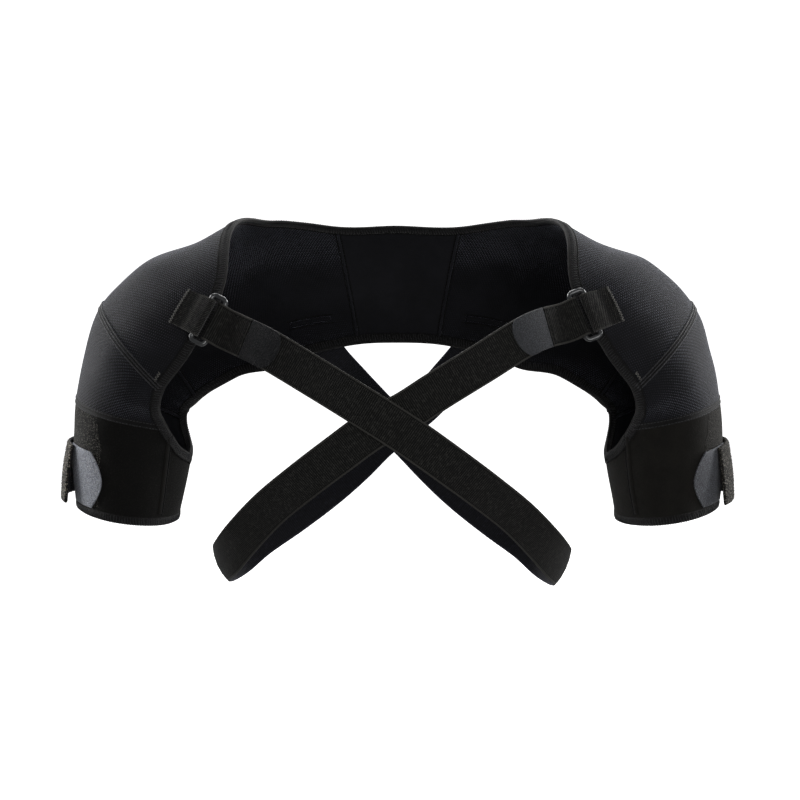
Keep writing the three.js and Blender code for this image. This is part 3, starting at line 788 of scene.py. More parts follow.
def hook_look(name, base, bright, grain, gloss):
    """Grey hook tape: rows of tiny moulded hooks."""
    look = Look(name)
    u, v = look.surface()
    hooks = look.node("ShaderNodeTexVoronoi", {"feature": "F1"},
                      {"Vector": look.place(), "Scale": 1150.0, "Randomness": 0.75})
    rows = u.wave(1.5) * v.wave(1.1)
    worn = look.noise(800, 3, 0.7)
    shade = look.shades(hooks.ramp(0.1, 0.6), base, bright, 0.55)
    shade = look.mixed(worn.ramp(0.52, 0.72) * 0.6, shade, lighter(base, bright * 1.7))
    shade = look.mixed(look.noise(620, 3, 0.7).ramp(0.5, 0.6) * grain, shade, lighter(base, 0.15))
    relief = look.bump((1 - hooks.ramp(0.1, 0.6)) + rows * 0.3 + worn * 0.4, 0.0004, 0.9)
    return look.finish(Base_Color=shade, Roughness=0.5 + worn * 0.25, Normal=relief, Specular_IOR_Level=gloss,
                       Sheen_Weight=gloss * 0.4)


def ring_look(name, base):
    """Glossy moulded ring with faint flow lines and rubbed spots."""
    look = Look(name)
    flow = look.noise(90, 3, 0.5)
    rubbed = look.noise(420, 4, 0.6)
    shade = look.shades(flow.ramp(0.35, 0.7), base, 0.8, 1.25)
    relief = look.bump(rubbed, 0.00008, 0.5)
    return look.finish(Base_Color=shade, Roughness=0.16 + rubbed.ramp(0.45, 0.8) * 0.16, Normal=relief,
                       Specular_IOR_Level=0.7, Coat_Weight=0.6, Coat_Roughness=0.06)


def finishes():
    """The brace's materials, made once."""
    cloth, web = bpy.context.scene.brace_cloth, bpy.context.scene.brace_webbing
    if "Knit face" not in bpy.data.materials:
        knit_look("Knit face", cloth, 1.0, cloth.knit, cloth.knit_dot)
        # The lining is the same knit as the face; its dimmer, weaker dots are painted shade of the inside.
        knit_look("Knit lining", cloth, 0.75, lighter(cloth.knit, 0.95), lighter(cloth.knit_dot, 0.5))
        for name, base, share, sheen in (
                ("Smooth jersey", cloth.smooth, 1, 0.12), ("Cuff lining", cloth.smooth, 0.9, 0.1),
                ("Cuff join", cloth.cuff, 0.9, 0.06), ("Seam ridge", cloth.smooth, 1.3, 0.2)):
            smooth_look(name, lighter(base, share), sheen)
        # Both cuffs are one cloth: the left one's lighter base, and the right one's darker base with brighter
        # specks, are painted light and shade.
        for name, share, speck, end in (
                ("left", 1.2, (0.075, 0.070, 0.062, 1), 50), ("right", 0.36, (0.26, 0.25, 0.22, 1), 60)):
            brushed_look(f"Brushed cuff {name}", lighter(cloth.cuff, share), speck, 0.03, 0.03, (-112, end))
        # Both closure strips are one cloth: the right one's brighter specks and stronger sheen are a painted
        # highlight, the left one's duller specks painted shade.
        for name, speck, sheen in (
                ("left", (0.30, 0.28, 0.24, 1), 0.1), ("right", (0.85, 0.77, 0.64, 1), 0.3)):
            brushed_look(f"Closure nap {name}", cloth.cuff, speck, sheen, 1.0, loops_each_metre=760.0)
        for name, share in (
                ("Edge binding", 0.5), ("Edge cord", 1.7), ("Cuff binding", 0.5), ("Seam cover", 0.3)):
            binding_look(name, lighter(cloth.binding, share))
        for name, base, sheen in (
                ("Hem thread", lighter(cloth.thread, 0.9), 0.12),
                ("Seam thread", lighter(cloth.thread, 1.7), 0.2),
                ("Dark thread", (0.002, 0.002, 0.002, 1), 0.0),
                ("Light thread", (0.16, 0.155, 0.14, 1), 0.2)):
            thread_look(name, base, sheen)
        web_look("Strap face", web, web.web, web.web_edge, 1.0)
        web_look("Strap back", web, web.web_back, lighter(web.web_back, 2.0), 0.25)
        twill_look("Anchor weave", lighter(web.web, 1.05), web.web_edge)
        # Each pair is one tape: the left strap tab lighter than the right one, and the right closure tab far
        # lighter than the left one, are painted light and shade.
        for name, share, bright in (("left", 0.68, 1.15), ("right", 0.16, 4.4)):
            hook_look(f"Hook tape {name}", lighter(web.hook, share), 1.0, 0.1, 0.15 + share * 0.3)
            hook_look(f"Cuff hook tape {name}", lighter(web.hook, bright), 1.6, 0.1 * bright, 0.4)
        ring_look("Ring plastic", web.ring)
    return bpy.data.materials


# Repeats made with geometry nodes


class Repeater:
    """A geometry node tree that lays copies of a pattern, under construction."""

    def __init__(self, name, inputs):
        self.tree = bpy.data.node_groups.new(name, "GeometryNodeTree")
        for label, kind, value in (("Geometry", "Geometry", None), ("Pattern", "Object", None), *inputs,
                                   ("Seed", "Int", 4), ("Finish", "Material", None)):
            socket = self.tree.interface.new_socket(
                name=label, in_out="INPUT", socket_type="NodeSocket" + kind)
            if value is not None:
                socket.default_value = value
        self.tree.interface.new_socket(name="Geometry", in_out="OUTPUT", socket_type="NodeSocketGeometry")
        self.entry = self.tree.nodes.new("NodeGroupInput")
        self.exit = self.tree.nodes.new("NodeGroupOutput")

    def given(self, label):
        return self.entry.outputs[label]

    def node(self, kind, settings=None, sockets=None):
        return new_node(self.tree, kind, settings, sockets)

    def sum(self, operation, *values):
        return self.node("ShaderNodeMath", {"operation": operation}, dict(enumerate(values))).outputs[0]

    def chance(self, low, high, kind="FLOAT"):
        """A random number or vector between two others, from the tree's seed."""
        first, output = (2, 1) if kind == "FLOAT" else (0, 0)
        made = self.node("FunctionNodeRandomValue", {"data_type": kind}, {
            first: low, first + 1: high, "Seed": self.given("Seed")})
        return made.outputs[output]

    def close(self, spots, facing, angles, **size):
        """Lays the copies at the spots, turned by the angles, and gives them their material."""
        euler = self.node("FunctionNodeEulerToRotation", sockets={0: angles})
        turned = self.node("FunctionNodeRotateRotation", {"rotation_space": "LOCAL"},
                           {0: facing, 1: euler.outputs[0]})
        pattern = self.node("GeometryNodeObjectInfo", sockets={"Object": self.given("Pattern")})
        copies = self.node("GeometryNodeInstanceOnPoints", sockets={
            "Points": spots, "Instance": pattern.outputs["Geometry"], "Rotation": turned.outputs[0], **size})
        real = self.node("GeometryNodeRealizeInstances", sockets={"Geometry": copies.outputs[0]})
        dyed = self.node("GeometryNodeSetMaterial", sockets={
            "Geometry": real.outputs[0], "Material": self.given("Finish")})
        self.tree.links.new(dyed.outputs[0], self.exit.inputs[0])
        return self.tree


def path_tree():
    """Copies a piece of thread along a path, at an even pitch, leaning to one or both sides."""
    name = "Thread along a path"
    if name in bpy.data.node_groups:
        return bpy.data.node_groups[name]
    kit = Repeater(name, (("Pitch", "Float", 0.003), ("Zigzag", "Float", 0.0), ("Unevenness", "Float", 0.06)))
    line = kit.node("GeometryNodeMeshToCurve", sockets={"Mesh": kit.given("Geometry")})
    stops = kit.node("GeometryNodeResampleCurve", {"mode": "LENGTH"},
                     {"Curve": line.outputs[0], "Length": kit.given("Pitch")})
    ahead, out = (kit.node("GeometryNodeInputNamedAttribute", {"data_type": "FLOAT_VECTOR"}, {"Name": label})
                  for label in ("ahead", "out"))
    facing = kit.node("FunctionNodeAxesToRotation", {"primary_axis": "X", "secondary_axis": "Z"},
                      {"Primary Axis": ahead.outputs[0], "Secondary Axis": out.outputs[0]})
    odd = kit.sum("MODULO", kit.node("GeometryNodeInputIndex").outputs[0], 2.0)
    swing = kit.sum("MULTIPLY", kit.sum("MULTIPLY_ADD", odd, -2.0, 1.0), kit.given("Zigzag"))
    least = kit.sum("MULTIPLY", kit.given("Unevenness"), -1.0)
    turn = kit.sum("ADD", swing, kit.chance(least, kit.given("Unevenness")))
    spin = kit.node("ShaderNodeCombineXYZ", sockets={2: turn})
    return kit.close(stops.outputs[0], facing.outputs[0], spin.outputs[0])


def nap_tree():
    """Scatters loose fibres over a surface."""
    name = "Fibres on a surface"
    if name in bpy.data.node_groups:
        return bpy.data.node_groups[name]
    kit = Repeater(name, (("Density", "Float", 400000.0), ("Least size", "Float", 0.6),
                          ("Greatest size", "Float", 1.5), ("Tilt", "Float", 0.9)))
    spots = kit.node("GeometryNodeDistributePointsOnFaces", {"distribute_method": "RANDOM"}, {
        "Mesh": kit.given("Geometry"), "Density": kit.given("Density"), "Seed": kit.given("Seed")})
    tilt = kit.given("Tilt")
    least = kit.sum("MULTIPLY", tilt, -1.0)
    low = kit.node("ShaderNodeCombineXYZ", sockets={0: least, 1: least, 2: -math.pi})
    high = kit.node("ShaderNodeCombineXYZ", sockets={0: tilt, 1: tilt, 2: math.pi})
    angles = kit.chance(low.outputs[0], high.outputs[0], "FLOAT_VECTOR")
    size = kit.chance(kit.given("Least size"), kit.given("Greatest size"))
    return kit.close(spots.outputs["Points"], spots.outputs["Rotation"], angles, Scale=size)


def grown(name, mesh, tree, values):
    """The plain mesh object that a tree makes from a mesh."""
    seed = placed(name + " seed", mesh)
    modifier = seed.modifiers.new("Repeat", "NODES")
    modifier.node_group = tree
    for item in tree.interface.items_tree:
        if item.item_type == "SOCKET" and item.in_out == "INPUT" and item.name in values:
            modifier[item.identifier] = values[item.name]
    graph = bpy.context.evaluated_depsgraph_get()
    result = bpy.data.meshes.new_from_object(seed.evaluated_get(graph), depsgraph=graph)
    bpy.data.objects.remove(seed)
    if not len(result.polygons):
        raise RuntimeError(f"{name}: its tree made no faces")
    result.name = name
    result.materials.clear()
    result.materials.append(values["Finish"])
    result.polygons.foreach_set("material_index", np.zeros(len(result.polygons), np.int32))
    result.shade_smooth()
    return placed(name, result)


def thread_object(name, points, radius, sides=5):
    """A short closed tube through the given points, used as a pattern."""
    points = np.array(points, float)
    ahead = unit(np.gradient(points, axis=0))
    side = unit(np.cross(ahead, np.array((0.13, 0.21, 1.0))))
    up = np.cross(side, ahead)
    turns = np.linspace(0, 2 * math.pi, sides, endpoint=False)
    sizes = np.full(len(points), radius)
    sizes[0] = sizes[-1] = radius * 0.35
    rings = (points[:, None] + side[:, None] * np.cos(turns)[None, :, None] * sizes[:, None, None]
             + up[:, None] * np.sin(turns)[None, :, None] * sizes[:, None, None])
    index = np.arange(len(points) * sides).reshape(-1, sides)
    around = np.roll(index, -1, axis=1)
    faces = np.stack((index[:-1], around[:-1], around[1:], index[1:]), axis=-1).reshape(-1, 4).tolist()
    faces += [index[0][::-1].tolist(), index[-1].tolist()]
    mesh = bpy.data.meshes.new(name)
    mesh.from_pydata(rings.reshape(-1, 3).tolist(), [], faces)
    mesh.shade_smooth()
    return placed(name, mesh)


def bowed(size, rise, sink, way=0):
    """Points of one stitch that bows out of the cloth, along its path or across it."""
    shares = np.linspace(-0.5, 0.5, 6)
    points = np.zeros((len(shares), 3))
    points[:, way] = shares * size
    points[:, 2] = rise * (1 - (2 * shares) ** 2) - sink
    return points


def path_mesh(name, runs):
    """Edges along the given runs of (points, ahead, out), with their directions as attributes."""
    points = np.concatenate([r[0] for r in runs])
    edges, base = [], 0
    for r in runs:
        edges += [(base + i, base + i + 1) for i in range(len(r[0]) - 1)]
        base += len(r[0])
    mesh = bpy.data.meshes.new(name)
    mesh.from_pydata(points.tolist(), edges, [])
    for label, k in (("ahead", 1), ("out", 2)):
        layer = mesh.attributes.new(label, "FLOAT_VECTOR", "POINT")
        layer.data.foreach_set("vector", np.concatenate([r[k] for r in runs]).astype(np.float32).ravel())
    return mesh


def stitched(name, runs, thread, pitch, finish, zigzag=0.0, unevenness=0.06, seed=4):
    """Thread laid along the runs, as one piece."""
    return settle(grown(name, path_mesh(name, runs), path_tree(), {
        "Pattern": thread, "Pitch": pitch, "Zigzag": zigzag, "Unevenness": unevenness, "Seed": seed,
        "Finish": finish}), None)


# Paths on the shell


def run_of(points, out):
    """A run with its directions ahead."""
    return points, unit(np.gradient(points, axis=0)), out


def edge_run(edge, start, end, step=0.0018):
    """The middle line of the cloth's edge, its way ahead, out of the cloth and in from the edge."""
    curve = EDGE[edge]
    along = even_stops(lambda x: shell_face(x, curve(np.abs(x))), start, end, step)
    angle = curve(np.abs(along))
    points, out = on_cloth(along, angle, -NEOPRENE / 2)
    ahead = unit(np.gradient(points, axis=0))
    inward = unit(np.cross(out, ahead))
    probe = shell_face(along, angle + (2 if edge == "hem" else -2)) - shell_face(along, angle)
    return points, ahead, out, inward * np.sign((inward * probe).sum(axis=-1).mean())


def looping(points, ahead, out, inward):
    """A run whose pattern lies in from the edge."""
    return points, ahead * np.sign((np.cross(out, ahead) * inward).sum(axis=-1).mean()), out


def seam_run(along, side, inset=3.0, step=0.0022):
    """Points round the shell at one place along it: face points, out and across the seam."""
    place = abs(along)
    low, high = float(EDGE["hem"](place)) + inset, float(EDGE["neckline"](place)) - inset
    angle = even_stops(lambda a: shell_face(along, a), low, high, step)
    inner = side == "inner"
    face, out = on_cloth(along, angle, -NEOPRENE if inner else 0)
    return face, -out if inner else out, shell_frame(along, angle)[0]


# Straps, as in the solids


def strap_route(side):
    under = 1 if side > 0 else 0
    points, rolls = [], []
    for cross, ahead, behind, fall, roll in ROUTE:
        rear = behind > 0
        lift = under * UNDER_STRAP_LIFT * (REAR_LIFT_SHARE if rear else 1 - fall ** 4)
        reach = under * UNDER_STRAP_REACH * fall ** 2 * np.sign(cross)
        crossing = smoothstep(LAYERS_END - abs(cross), 0, LAYERS_END - LAYERS_FULL)
        layer = (1 if (side > 0) == rear else -1) * crossing * STRAP_LAYERS_APART / 2
        points.append((-side * (cross * HALF_SPAN + reach),
                       behind * BACK_DEPTH - ahead * FRONT_DEPTH - layer, lift - fall * STRAP_DROP))
        rolls.append(-side * roll)
    return np.array(points), np.array(rolls, float)


def ring_seat(side):
    along = RING_ALONG - UNDER_RING_SHIFT if side > 0 else -RING_ALONG
    angle = float(EDGE["neckline"](abs(along)))
    out = shell_frame(along, angle)[2]
    middle = on_shell(along, angle, 3 * FIT_GAP + WEB_THICKNESS + RING_WIRE / 2)
    towards = strap_route(side)[0][0] - middle
    towards = unit(towards - out * (towards @ out))
    return middle, out, towards, unit(np.cross(out, towards))


def turn_round_bar(side, bar, steps=16):
    """Points, across and out of webbing that turns round a bar of the ring, face side first."""
    middle, out, towards, lengthways = ring_seat(side)
    centre = middle + towards * bar * (RING_WIDTH - RING_WIRE) / 2
    radius = RING_WIRE / 2 + FIT_GAP + WEB_THICKNESS / 2
    turn = np.linspace(0, math.pi, steps + 1)[:, None]
    ray = out * np.cos(turn) - towards * bar * np.sin(turn)
    across = np.repeat((lengthways * bar)[None], steps + 1, axis=0)
    loose = 1 + (LOOSE_FOLD - 1) * np.sin(turn) ** 2
    return centre + ray * radius * loose, across, ray


def centripetal(knots, places):
    """Points of a centripetal spline through knots, at places from 0 to 1."""
    last = len(knots) - 1
    first = 2 * knots[0] - knots[1]
    after = 2 * knots[-1] - knots[-2]
    line = np.concatenate(([first], knots, [after]))
    scaled = np.clip(places, 0, 1) * last
    i = np.minimum(np.floor(scaled).astype(int), last - 1)
    t = (scaled - i)[:, None]
    x0, x1, x2, x3 = (line[i + k] for k in range(4))
    gaps = [np.maximum(((b - a) ** 2).sum(axis=-1, keepdims=True) ** 0.25, 1e-6)
            for a, b in ((x0, x1), (x1, x2), (x2, x3))]
    d0, d1, d2 = gaps
    t1 = ((x1 - x0) / d0 - (x2 - x0) / (d0 + d1) + (x2 - x1) / d1) * d1
    t2 = ((x2 - x1) / d1 - (x3 - x1) / (d1 + d2) + (x3 - x2) / d2) * d1
    return x1 + t1 * t + (3 * (x2 - x1) - 2 * t1 - t2) * t ** 2 + (2 * (x1 - x2) + t1 + t2) * t ** 3


def strap_run(side):
    """Evenly spaced stops of the strap from the ring to its sewn end: points, across, out."""
    _, seat_out, towards, _ = ring_seat(side)
    start = turn_round_bar(side, 1)[0][-1]
    dart_round, dart_out = shell_frame(side * DART_ALONG, DART_ANGLE)[1:]
    sewn = on_shell(side * DART_ALONG, DART_ANGLE, 2 * FIT_GAP + WEB_THICKNESS / 2)
    route, rolls = strap_route(side)
    knots = np.concatenate(([start, start + towards * WEB_WIDTH / 4], route,
                            [sewn, sewn + dart_round * SEWN_LENGTH]))
    rolls = np.concatenate(([0, 0], rolls, [0, 0]))
    last = len(knots) - 1
    dense = np.concatenate((np.linspace(0, 3 / last, 400)[:-1], np.linspace(3 / last, 1, 1800)))
    points = centripetal(knots, dense)
    lengths = distances(points)
    count = int(lengths[-1] / WEB_STEP)
    even = np.linspace(0, lengths[-1], count)
    places = np.interp(even, lengths, dense)
    points = between(even, lengths, points)
    turned = np.interp(places * last, np.arange(last + 1), rolls)
    trunk = unit(points * np.array((TRUNK_ROUNDNESS, 1, 0)))
    share = np.clip(1 - places * last / 4, 0, 1)[:, None]
    trunk = trunk * (1 - share) + seat_out * share
    share = np.clip(1.6 - (1 - places) * last / 2, 0, 1)[:, None]
    trunk = unit(trunk * (1 - share) + dart_out * share)
    ahead = unit(np.gradient(points, axis=0))
    out = unit(trunk - ahead * (trunk * ahead).sum(axis=-1, keepdims=True))
    c, s = np.cos(np.radians(turned))[:, None], np.sin(np.radians(turned))[:, None]
    out = out * c + np.cross(ahead, out) * s
    for _ in range(6):
        out[1:-1] = (out[:-2] + 2 * out[1:-1] + out[2:]) / 4
    out = unit(out - ahead * (out * ahead).sum(axis=-1, keepdims=True))
    return points, unit(np.cross(ahead, out)), out


def part_of_run(run, start, end, height, step=WEB_STEP):
    """The stops of a run between two distances along it, raised off its face."""
    even = np.linspace(start, end, max(int((end - start) / step), 6))
    points, across, out = (between(even, distances(run[0]), values) for values in run)
    out = unit(out)
    return points + out * height, unit(across), out


def web_grid(points, across, out, half=None):
    """Middle points, normals and distances of a flat band of webbing."""
    half = np.full(len(points), WEB_WIDTH / 2) if half is None else half
    offset = half[:, None] * WEB_SHARES[None]
    normals = np.repeat(out[:, None], len(WEB_SHARES), axis=1)
    turning = smoothstep(np.abs(points[:, 0]), 0.105, 0.142) * smoothstep(-points[:, 2], 0.2, 0.23)
    crown = WEB_CROWN * turning[:, None] * (1 - WEB_SHARES[None] ** 2)
    away = np.sign((normals[:, 0] * points * (1, 0, 0)).sum(axis=-1))[:, None, None]
    grid = points[:, None] + across[:, None] * offset[..., None] + normals * crown[..., None] * away
    uv = np.stack((np.broadcast_to(distances(points)[:, None], offset.shape), offset), axis=-1)
    return grid, normals, uv


def rounded_end(share):
    """Half width of a tab at a share of the way into its rounded end."""
    return (1 - np.minimum(share, 0.985) ** 2.1) ** (1 / 2.1)


# Operators


def shell_grid(start, end):
    """A panel's middle surface between two places along the shell."""
    def borders(x):
        hem, neck = EDGE["hem"](np.abs(x)), EDGE["neckline"](np.abs(x))
        return np.stack([shell_face(x, angle) for angle in (hem, neck, (hem + neck) / 2)], axis=1)
    along = even_stops(borders, start, end, SHELL_STEP)
    hem, neck = EDGE["hem"](np.abs(along)), EDGE["neckline"](np.abs(along))
    widest = np.argmax(neck - hem)
    round_it = even_stops(lambda a: shell_face(along[widest], a), hem[widest], neck[widest], SHELL_STEP)
    share = (round_it - hem[widest]) / (neck[widest] - hem[widest])
    angle = hem[:, None] + (neck - hem)[:, None] * share[None]
    centre, out = on_cloth(along[:, None], angle, -NEOPRENE / 2)
    return centre, out, flat_uv(centre)


class BRACE_OT_shell_panels(bpy.types.Operator):
    """Builds the back panel, the shoulder panels and the sleeve caps"""

    bl_idname = "brace.shell_panels"
    bl_label = "Shell panels"

    def execute(self, context):
        looks = finishes()
        panels = [("back_panel", -BACK_SEAM, BACK_SEAM, "Smooth jersey", "Smooth jersey", "smooth_neoprene")]
        for name, side in SIDES:
            for kind, start, end in (("shoulder_panel", BACK_SEAM, SHOULDER_SEAM),
                                     ("sleeve_cap", SHOULDER_SEAM, CUFF_SEAM)):
                low, high = sorted((side * start, side * end))
                panels.append((f"{kind}_{name}", low, high, "Knit face", "Knit lining", "mesh_neoprene"))
        for node, start, end, outer, inner, slot in panels:
            centre, out, uv = shell_grid(start, end)
            sewn = slab(centre, out, uv, NEOPRENE, slots=(0, 1))
            piece = settle(sewn.piece(f"{node}_cloth", [looks[outer], looks[inner]]), node)
            area = area_of(centre)
        return {"FINISHED"}


def cuff_grid(side):
    """The cuff's middle surface, open above the armpit and a whole tube below it."""
    above = even_stops(lambda x: shell_face(x, EDGE["neckline"](x)), CUFF_SEAM, ARMPIT, SHELL_STEP)
    below = even_stops(lambda x: shell_face(x, 90), ARMPIT, CUFF_END, SHELL_STEP)[1:]
    places = np.concatenate((above, below))
    hem, neck = EDGE["hem"](places), EDGE["neckline"](places)
    closed = places >= ARMPIT - 1e-9
    hem, neck = np.where(closed, -180, hem), np.where(closed, 180, neck)
    share = np.linspace(0, 1, CUFF_COLUMNS)
    angle = hem[:, None] + (neck - hem)[:, None] * share[None]
    centre, out = on_cloth(side * places[:, None], angle, -NEOPRENE / 2)
    for values in (centre, out):
        values[closed, -1] = values[closed, 0]
    return centre, out, flat_uv(centre), closed


class BRACE_OT_arm_cuffs(bpy.types.Operator):
    """Builds the tubes of brushed cloth round the upper arms"""

    bl_idname = "brace.arm_cuffs"
    bl_label = "Arm cuffs"

    def execute(self, context):
        looks = finishes()
        for name, side in SIDES:
            centre, out, uv, closed = cuff_grid(side)
            split = int(np.argmax(closed))
            sewn = slab(centre[:split + 1], out[:split + 1], uv[:split + 1], NEOPRENE, slots=(0, 1),
                        ends=(True, False))
            slab(centre[split:], out[split:], uv[split:], NEOPRENE, slots=(0, 1), ends=(False, True),
                 sides=(False, False), sewn=sewn)
            cloths = [looks[f"Brushed cuff {name}"], looks["Cuff lining"]]
            piece = settle(sewn.piece(f"arm_cuff_{name}_cloth", cloths), f"arm_cuff_{name}")
            area = area_of(centre)
        return {"FINISHED"}


def edge_profiles(cloth):
    """The binding, the thread loop over it and the cord at its lip, as (inwards, outwards) points."""
    wide, rise, half = cloth.hem_width, cloth.hem_rise, NEOPRENE / 2
    top = half + rise
    nose = [(-top * abs(math.cos(t)), top * math.sin(t))
            for t in np.linspace(math.pi / 2, 3 * math.pi / 2, 9)]
    binding = mirrored(((wide + 0.0006, half - 0.0006), (wide, half + rise * 0.7), (wide - 0.0008, top),
                        (half, top)), nose[1:-1], (1, -1))
    loop = mirrored(((wide - 0.0003, top - 0.00005), (half, top + 0.0001), (-0.0006, top - 0.0001)),
                    [(-top - 0.00005, 0.0)], (1, -1))
    cord = [(-top - 0.0002 + 0.0007 * math.cos(t), 0.0009 * math.sin(t))
            for t in np.linspace(0, 2 * math.pi, 9)[:-1]]
    return binding, loop, cord


class BRACE_OT_edges(bpy.types.Operator):
    """Binds the cloth's edges and sews the binding"""

    bl_idname = "brace.edges"
    bl_label = "Edges"

    def execute(self, context):
        cloth, looks = context.scene.brace_cloth, finishes()
        binding, loop, cord = edge_profiles(cloth)
        lean = cloth.hem_pitch * 0.55
        loop_thread = thread_object("Loop thread", [
            (lean * (k / (len(loop) - 1) * 2 - 1), a, b) for k, (a, b) in enumerate(loop)],
            cloth.thread_radius * 1.7)
        step = thread_object("Zigzag thread", bowed(ZIGZAG_WIDTH, STITCH_BOW, JUST_OFF, 1),
                             cloth.thread_radius * 1.5)
        for edge in ("hem", "neckline"):
            points, ahead, out, inward = edge_run(edge, -ARMPIT + 0.0005, ARMPIT - 0.0005)
            sweep(f"{edge}_binding", points, inward, out, binding, looks["Edge binding"])
            stitched(f"{edge}_loops", [looping(points, ahead, out, inward)], loop_thread, cloth.hem_pitch,
                     looks["Hem thread"], unevenness=0.16, seed=7)
            sweep(f"{edge}_cord", points, inward, out, cord, looks["Edge cord"])
            aside = inward * (cloth.hem_width + 0.0003)
            height = NEOPRENE / 2 + cloth.hem_rise * 0.5
            zigzags = [(points + aside + out * face * height, ahead, out * face) for face in (1, -1)]
            stitched(f"{edge}_zigzag", zigzags, step, cloth.hem_pitch * 0.5, looks["Dark thread"],
                     zigzag=0.65, seed=5)
        for name, side in SIDES:
            angle = np.linspace(-180, 180, 170)[:-1]
            points, out = on_cloth(side * CUFF_END, angle, -NEOPRENE / 2)
            inward = -side * shell_frame(side * CUFF_END, angle)[0]
            sweep(f"cuff_binding_{name}", points, inward, out, binding, looks["Cuff binding"],
                  closed=True)
            ahead = unit(np.roll(points, -1, axis=0) - np.roll(points, 1, axis=0))
            rim = [np.concatenate((values, values[:1])) for values in looping(points, ahead, out, inward)]
            stitched(f"cuff_loops_{name}", [rim], loop_thread, cloth.hem_pitch, looks["Hem thread"],
                     unevenness=0.2, seed=9)
        for helper in (loop_thread, step):
            bpy.data.objects.remove(helper)
        return {"FINISHED"}


class BRACE_OT_seams(bpy.types.Operator):
    """Covers and sews the seams, the darts, the joins of the cuffs and the tacks"""

    bl_idname = "brace.seams"
    bl_label = "Seams"

    def execute(self, context):
        cloth, looks = context.scene.brace_cloth, finishes()
        wide, radius, pitch = cloth.seam_half, cloth.thread_radius, cloth.stitch_pitch
        fine = thread_object("Fine thread", bowed(pitch * 0.82, 0.0002, radius * 0.5), radius)
        heavy = thread_object("Heavy thread", bowed(pitch * 1.1, 0.0001, radius * 0.5), radius * 2.2)
        step = thread_object("Zigzag thread", bowed(ZIGZAG_WIDTH, STITCH_BOW, JUST_OFF, 1), radius * 1.5)
        kinds = {"outer": ("Seam cover", FLAT_COVER, 0.0004), "inner": ("Seam ridge", SEAM_RIDGE, 0.0001)}
        rows = {"outer": [], "inner": [], "cuff": []}
        for label, place in SEAM_PLACES.items():
            for name, side in SIDES:
                for kind, (look, cover, rise) in kinds.items():
                    face, out, across = seam_run(side * place, kind)
                    sweep(f"{label}_seam_{name}_{kind}", face, across, out, [(s * wide, h) for s, h in cover],
                          looks[look])
                    outer = kind == "outer"
                    for share in SEAM_ROWS[label if outer else "inner"]:
                        row = rows["cuff" if outer and label == "cuff" else kind]
                        row.append(run_of(face + across * wide * share + out * rise, out))
        for kind, thread, look in (("outer", heavy, "Seam thread"), ("inner", heavy, "Dark thread"),
                                   ("cuff", fine, "Seam thread")):
            stitched(f"seam_stitches_{kind}", rows[kind], thread, pitch, looks[look], seed=3)

        ends = shell_face(DART_ALONG + np.array((-0.005, 0.005)), DART_ANGLE)
        reach = float(np.linalg.norm(ends[1] - ends[0]) / 0.01)
        lines, tacks = [], []
        for name, side in SIDES:
            along = side * DART_ALONG + np.linspace(-DART_HALF, DART_HALF, 30)[:, None] / reach
            turn = DART_TURN + np.degrees(np.linspace(-DART_WELT, DART_WELT, 7)[None] / BACK_DEPTH)
            centre, out = on_cloth(along, turn, -NEOPRENE)
            welt = slab(centre, -out, flat_uv(centre), DART_WELT)
            settle(welt.piece(f"dart_welt_{name}", [looks["Knit lining"]]), None)
            along = side * DART_ALONG + np.linspace(-DART_HALF - 0.001, DART_HALF + 0.001, 30) / reach
            for shift in (-DART_SPREAD, DART_SPREAD):
                turn = DART_TURN + math.degrees(shift / BACK_DEPTH)
                line, out = on_cloth(along, turn, -NEOPRENE - JUST_OFF / 2)
                lines.append(run_of(line, -out))
        for name, side in SIDES:
            place = np.linspace(CUFF_SEAM + 0.02, CUFF_END - 0.02, 40)
            face, out = on_cloth(side * place, CUFF_JOIN)
            around = shell_frame(side * place, CUFF_JOIN)[1]
            sweep(f"cuff_join_{name}", face, around, out, JOIN_WELT, looks["Cuff join"])
            lines.append(run_of(face + around * 0.0030 + out * JUST_OFF / 2, out))
            along = np.linspace(*TACK_SPAN, 12)
            tacks.append(run_of(*on_cloth(side * along, EDGE["neckline"](along) - TACK_INSET, JUST_OFF)))
        stitched("shoulder_tacks", tacks, step, TACK_PITCH, looks["Light thread"],
                 zigzag=0.35, seed=14)
        stitched("dart_stitches", lines, heavy, pitch, looks["Dark thread"], seed=6)
        for helper in (fine, heavy, step):
            bpy.data.objects.remove(helper)
        return {"FINISHED"}


def cuff_patch(side, angles, low, high, lift, thickness):
    """Middle points, normals and distances of a patch lifted off a cuff."""
    place = low[:, None] + (high - low)[:, None] * np.linspace(0, 1, 24)[None]
    height = lift(np.linspace(0, 1, len(angles))[:, None], place) + thickness / 2
    grid, out = on_cloth(side * place, angles[:, None], height)
    return grid, out, flat_uv(grid)


def closure_lift(share, place):
    down = (place - CLOSURE_HIGH) / (CLOSURE_LOW - CLOSURE_HIGH)
    end = FIT_GAP + HOOK_TAB_THICKNESS + FIT_GAP + CLOSURE_FLARE * down
    return FIT_GAP + (end - FIT_GAP) * smoothstep(share, 0, 1)


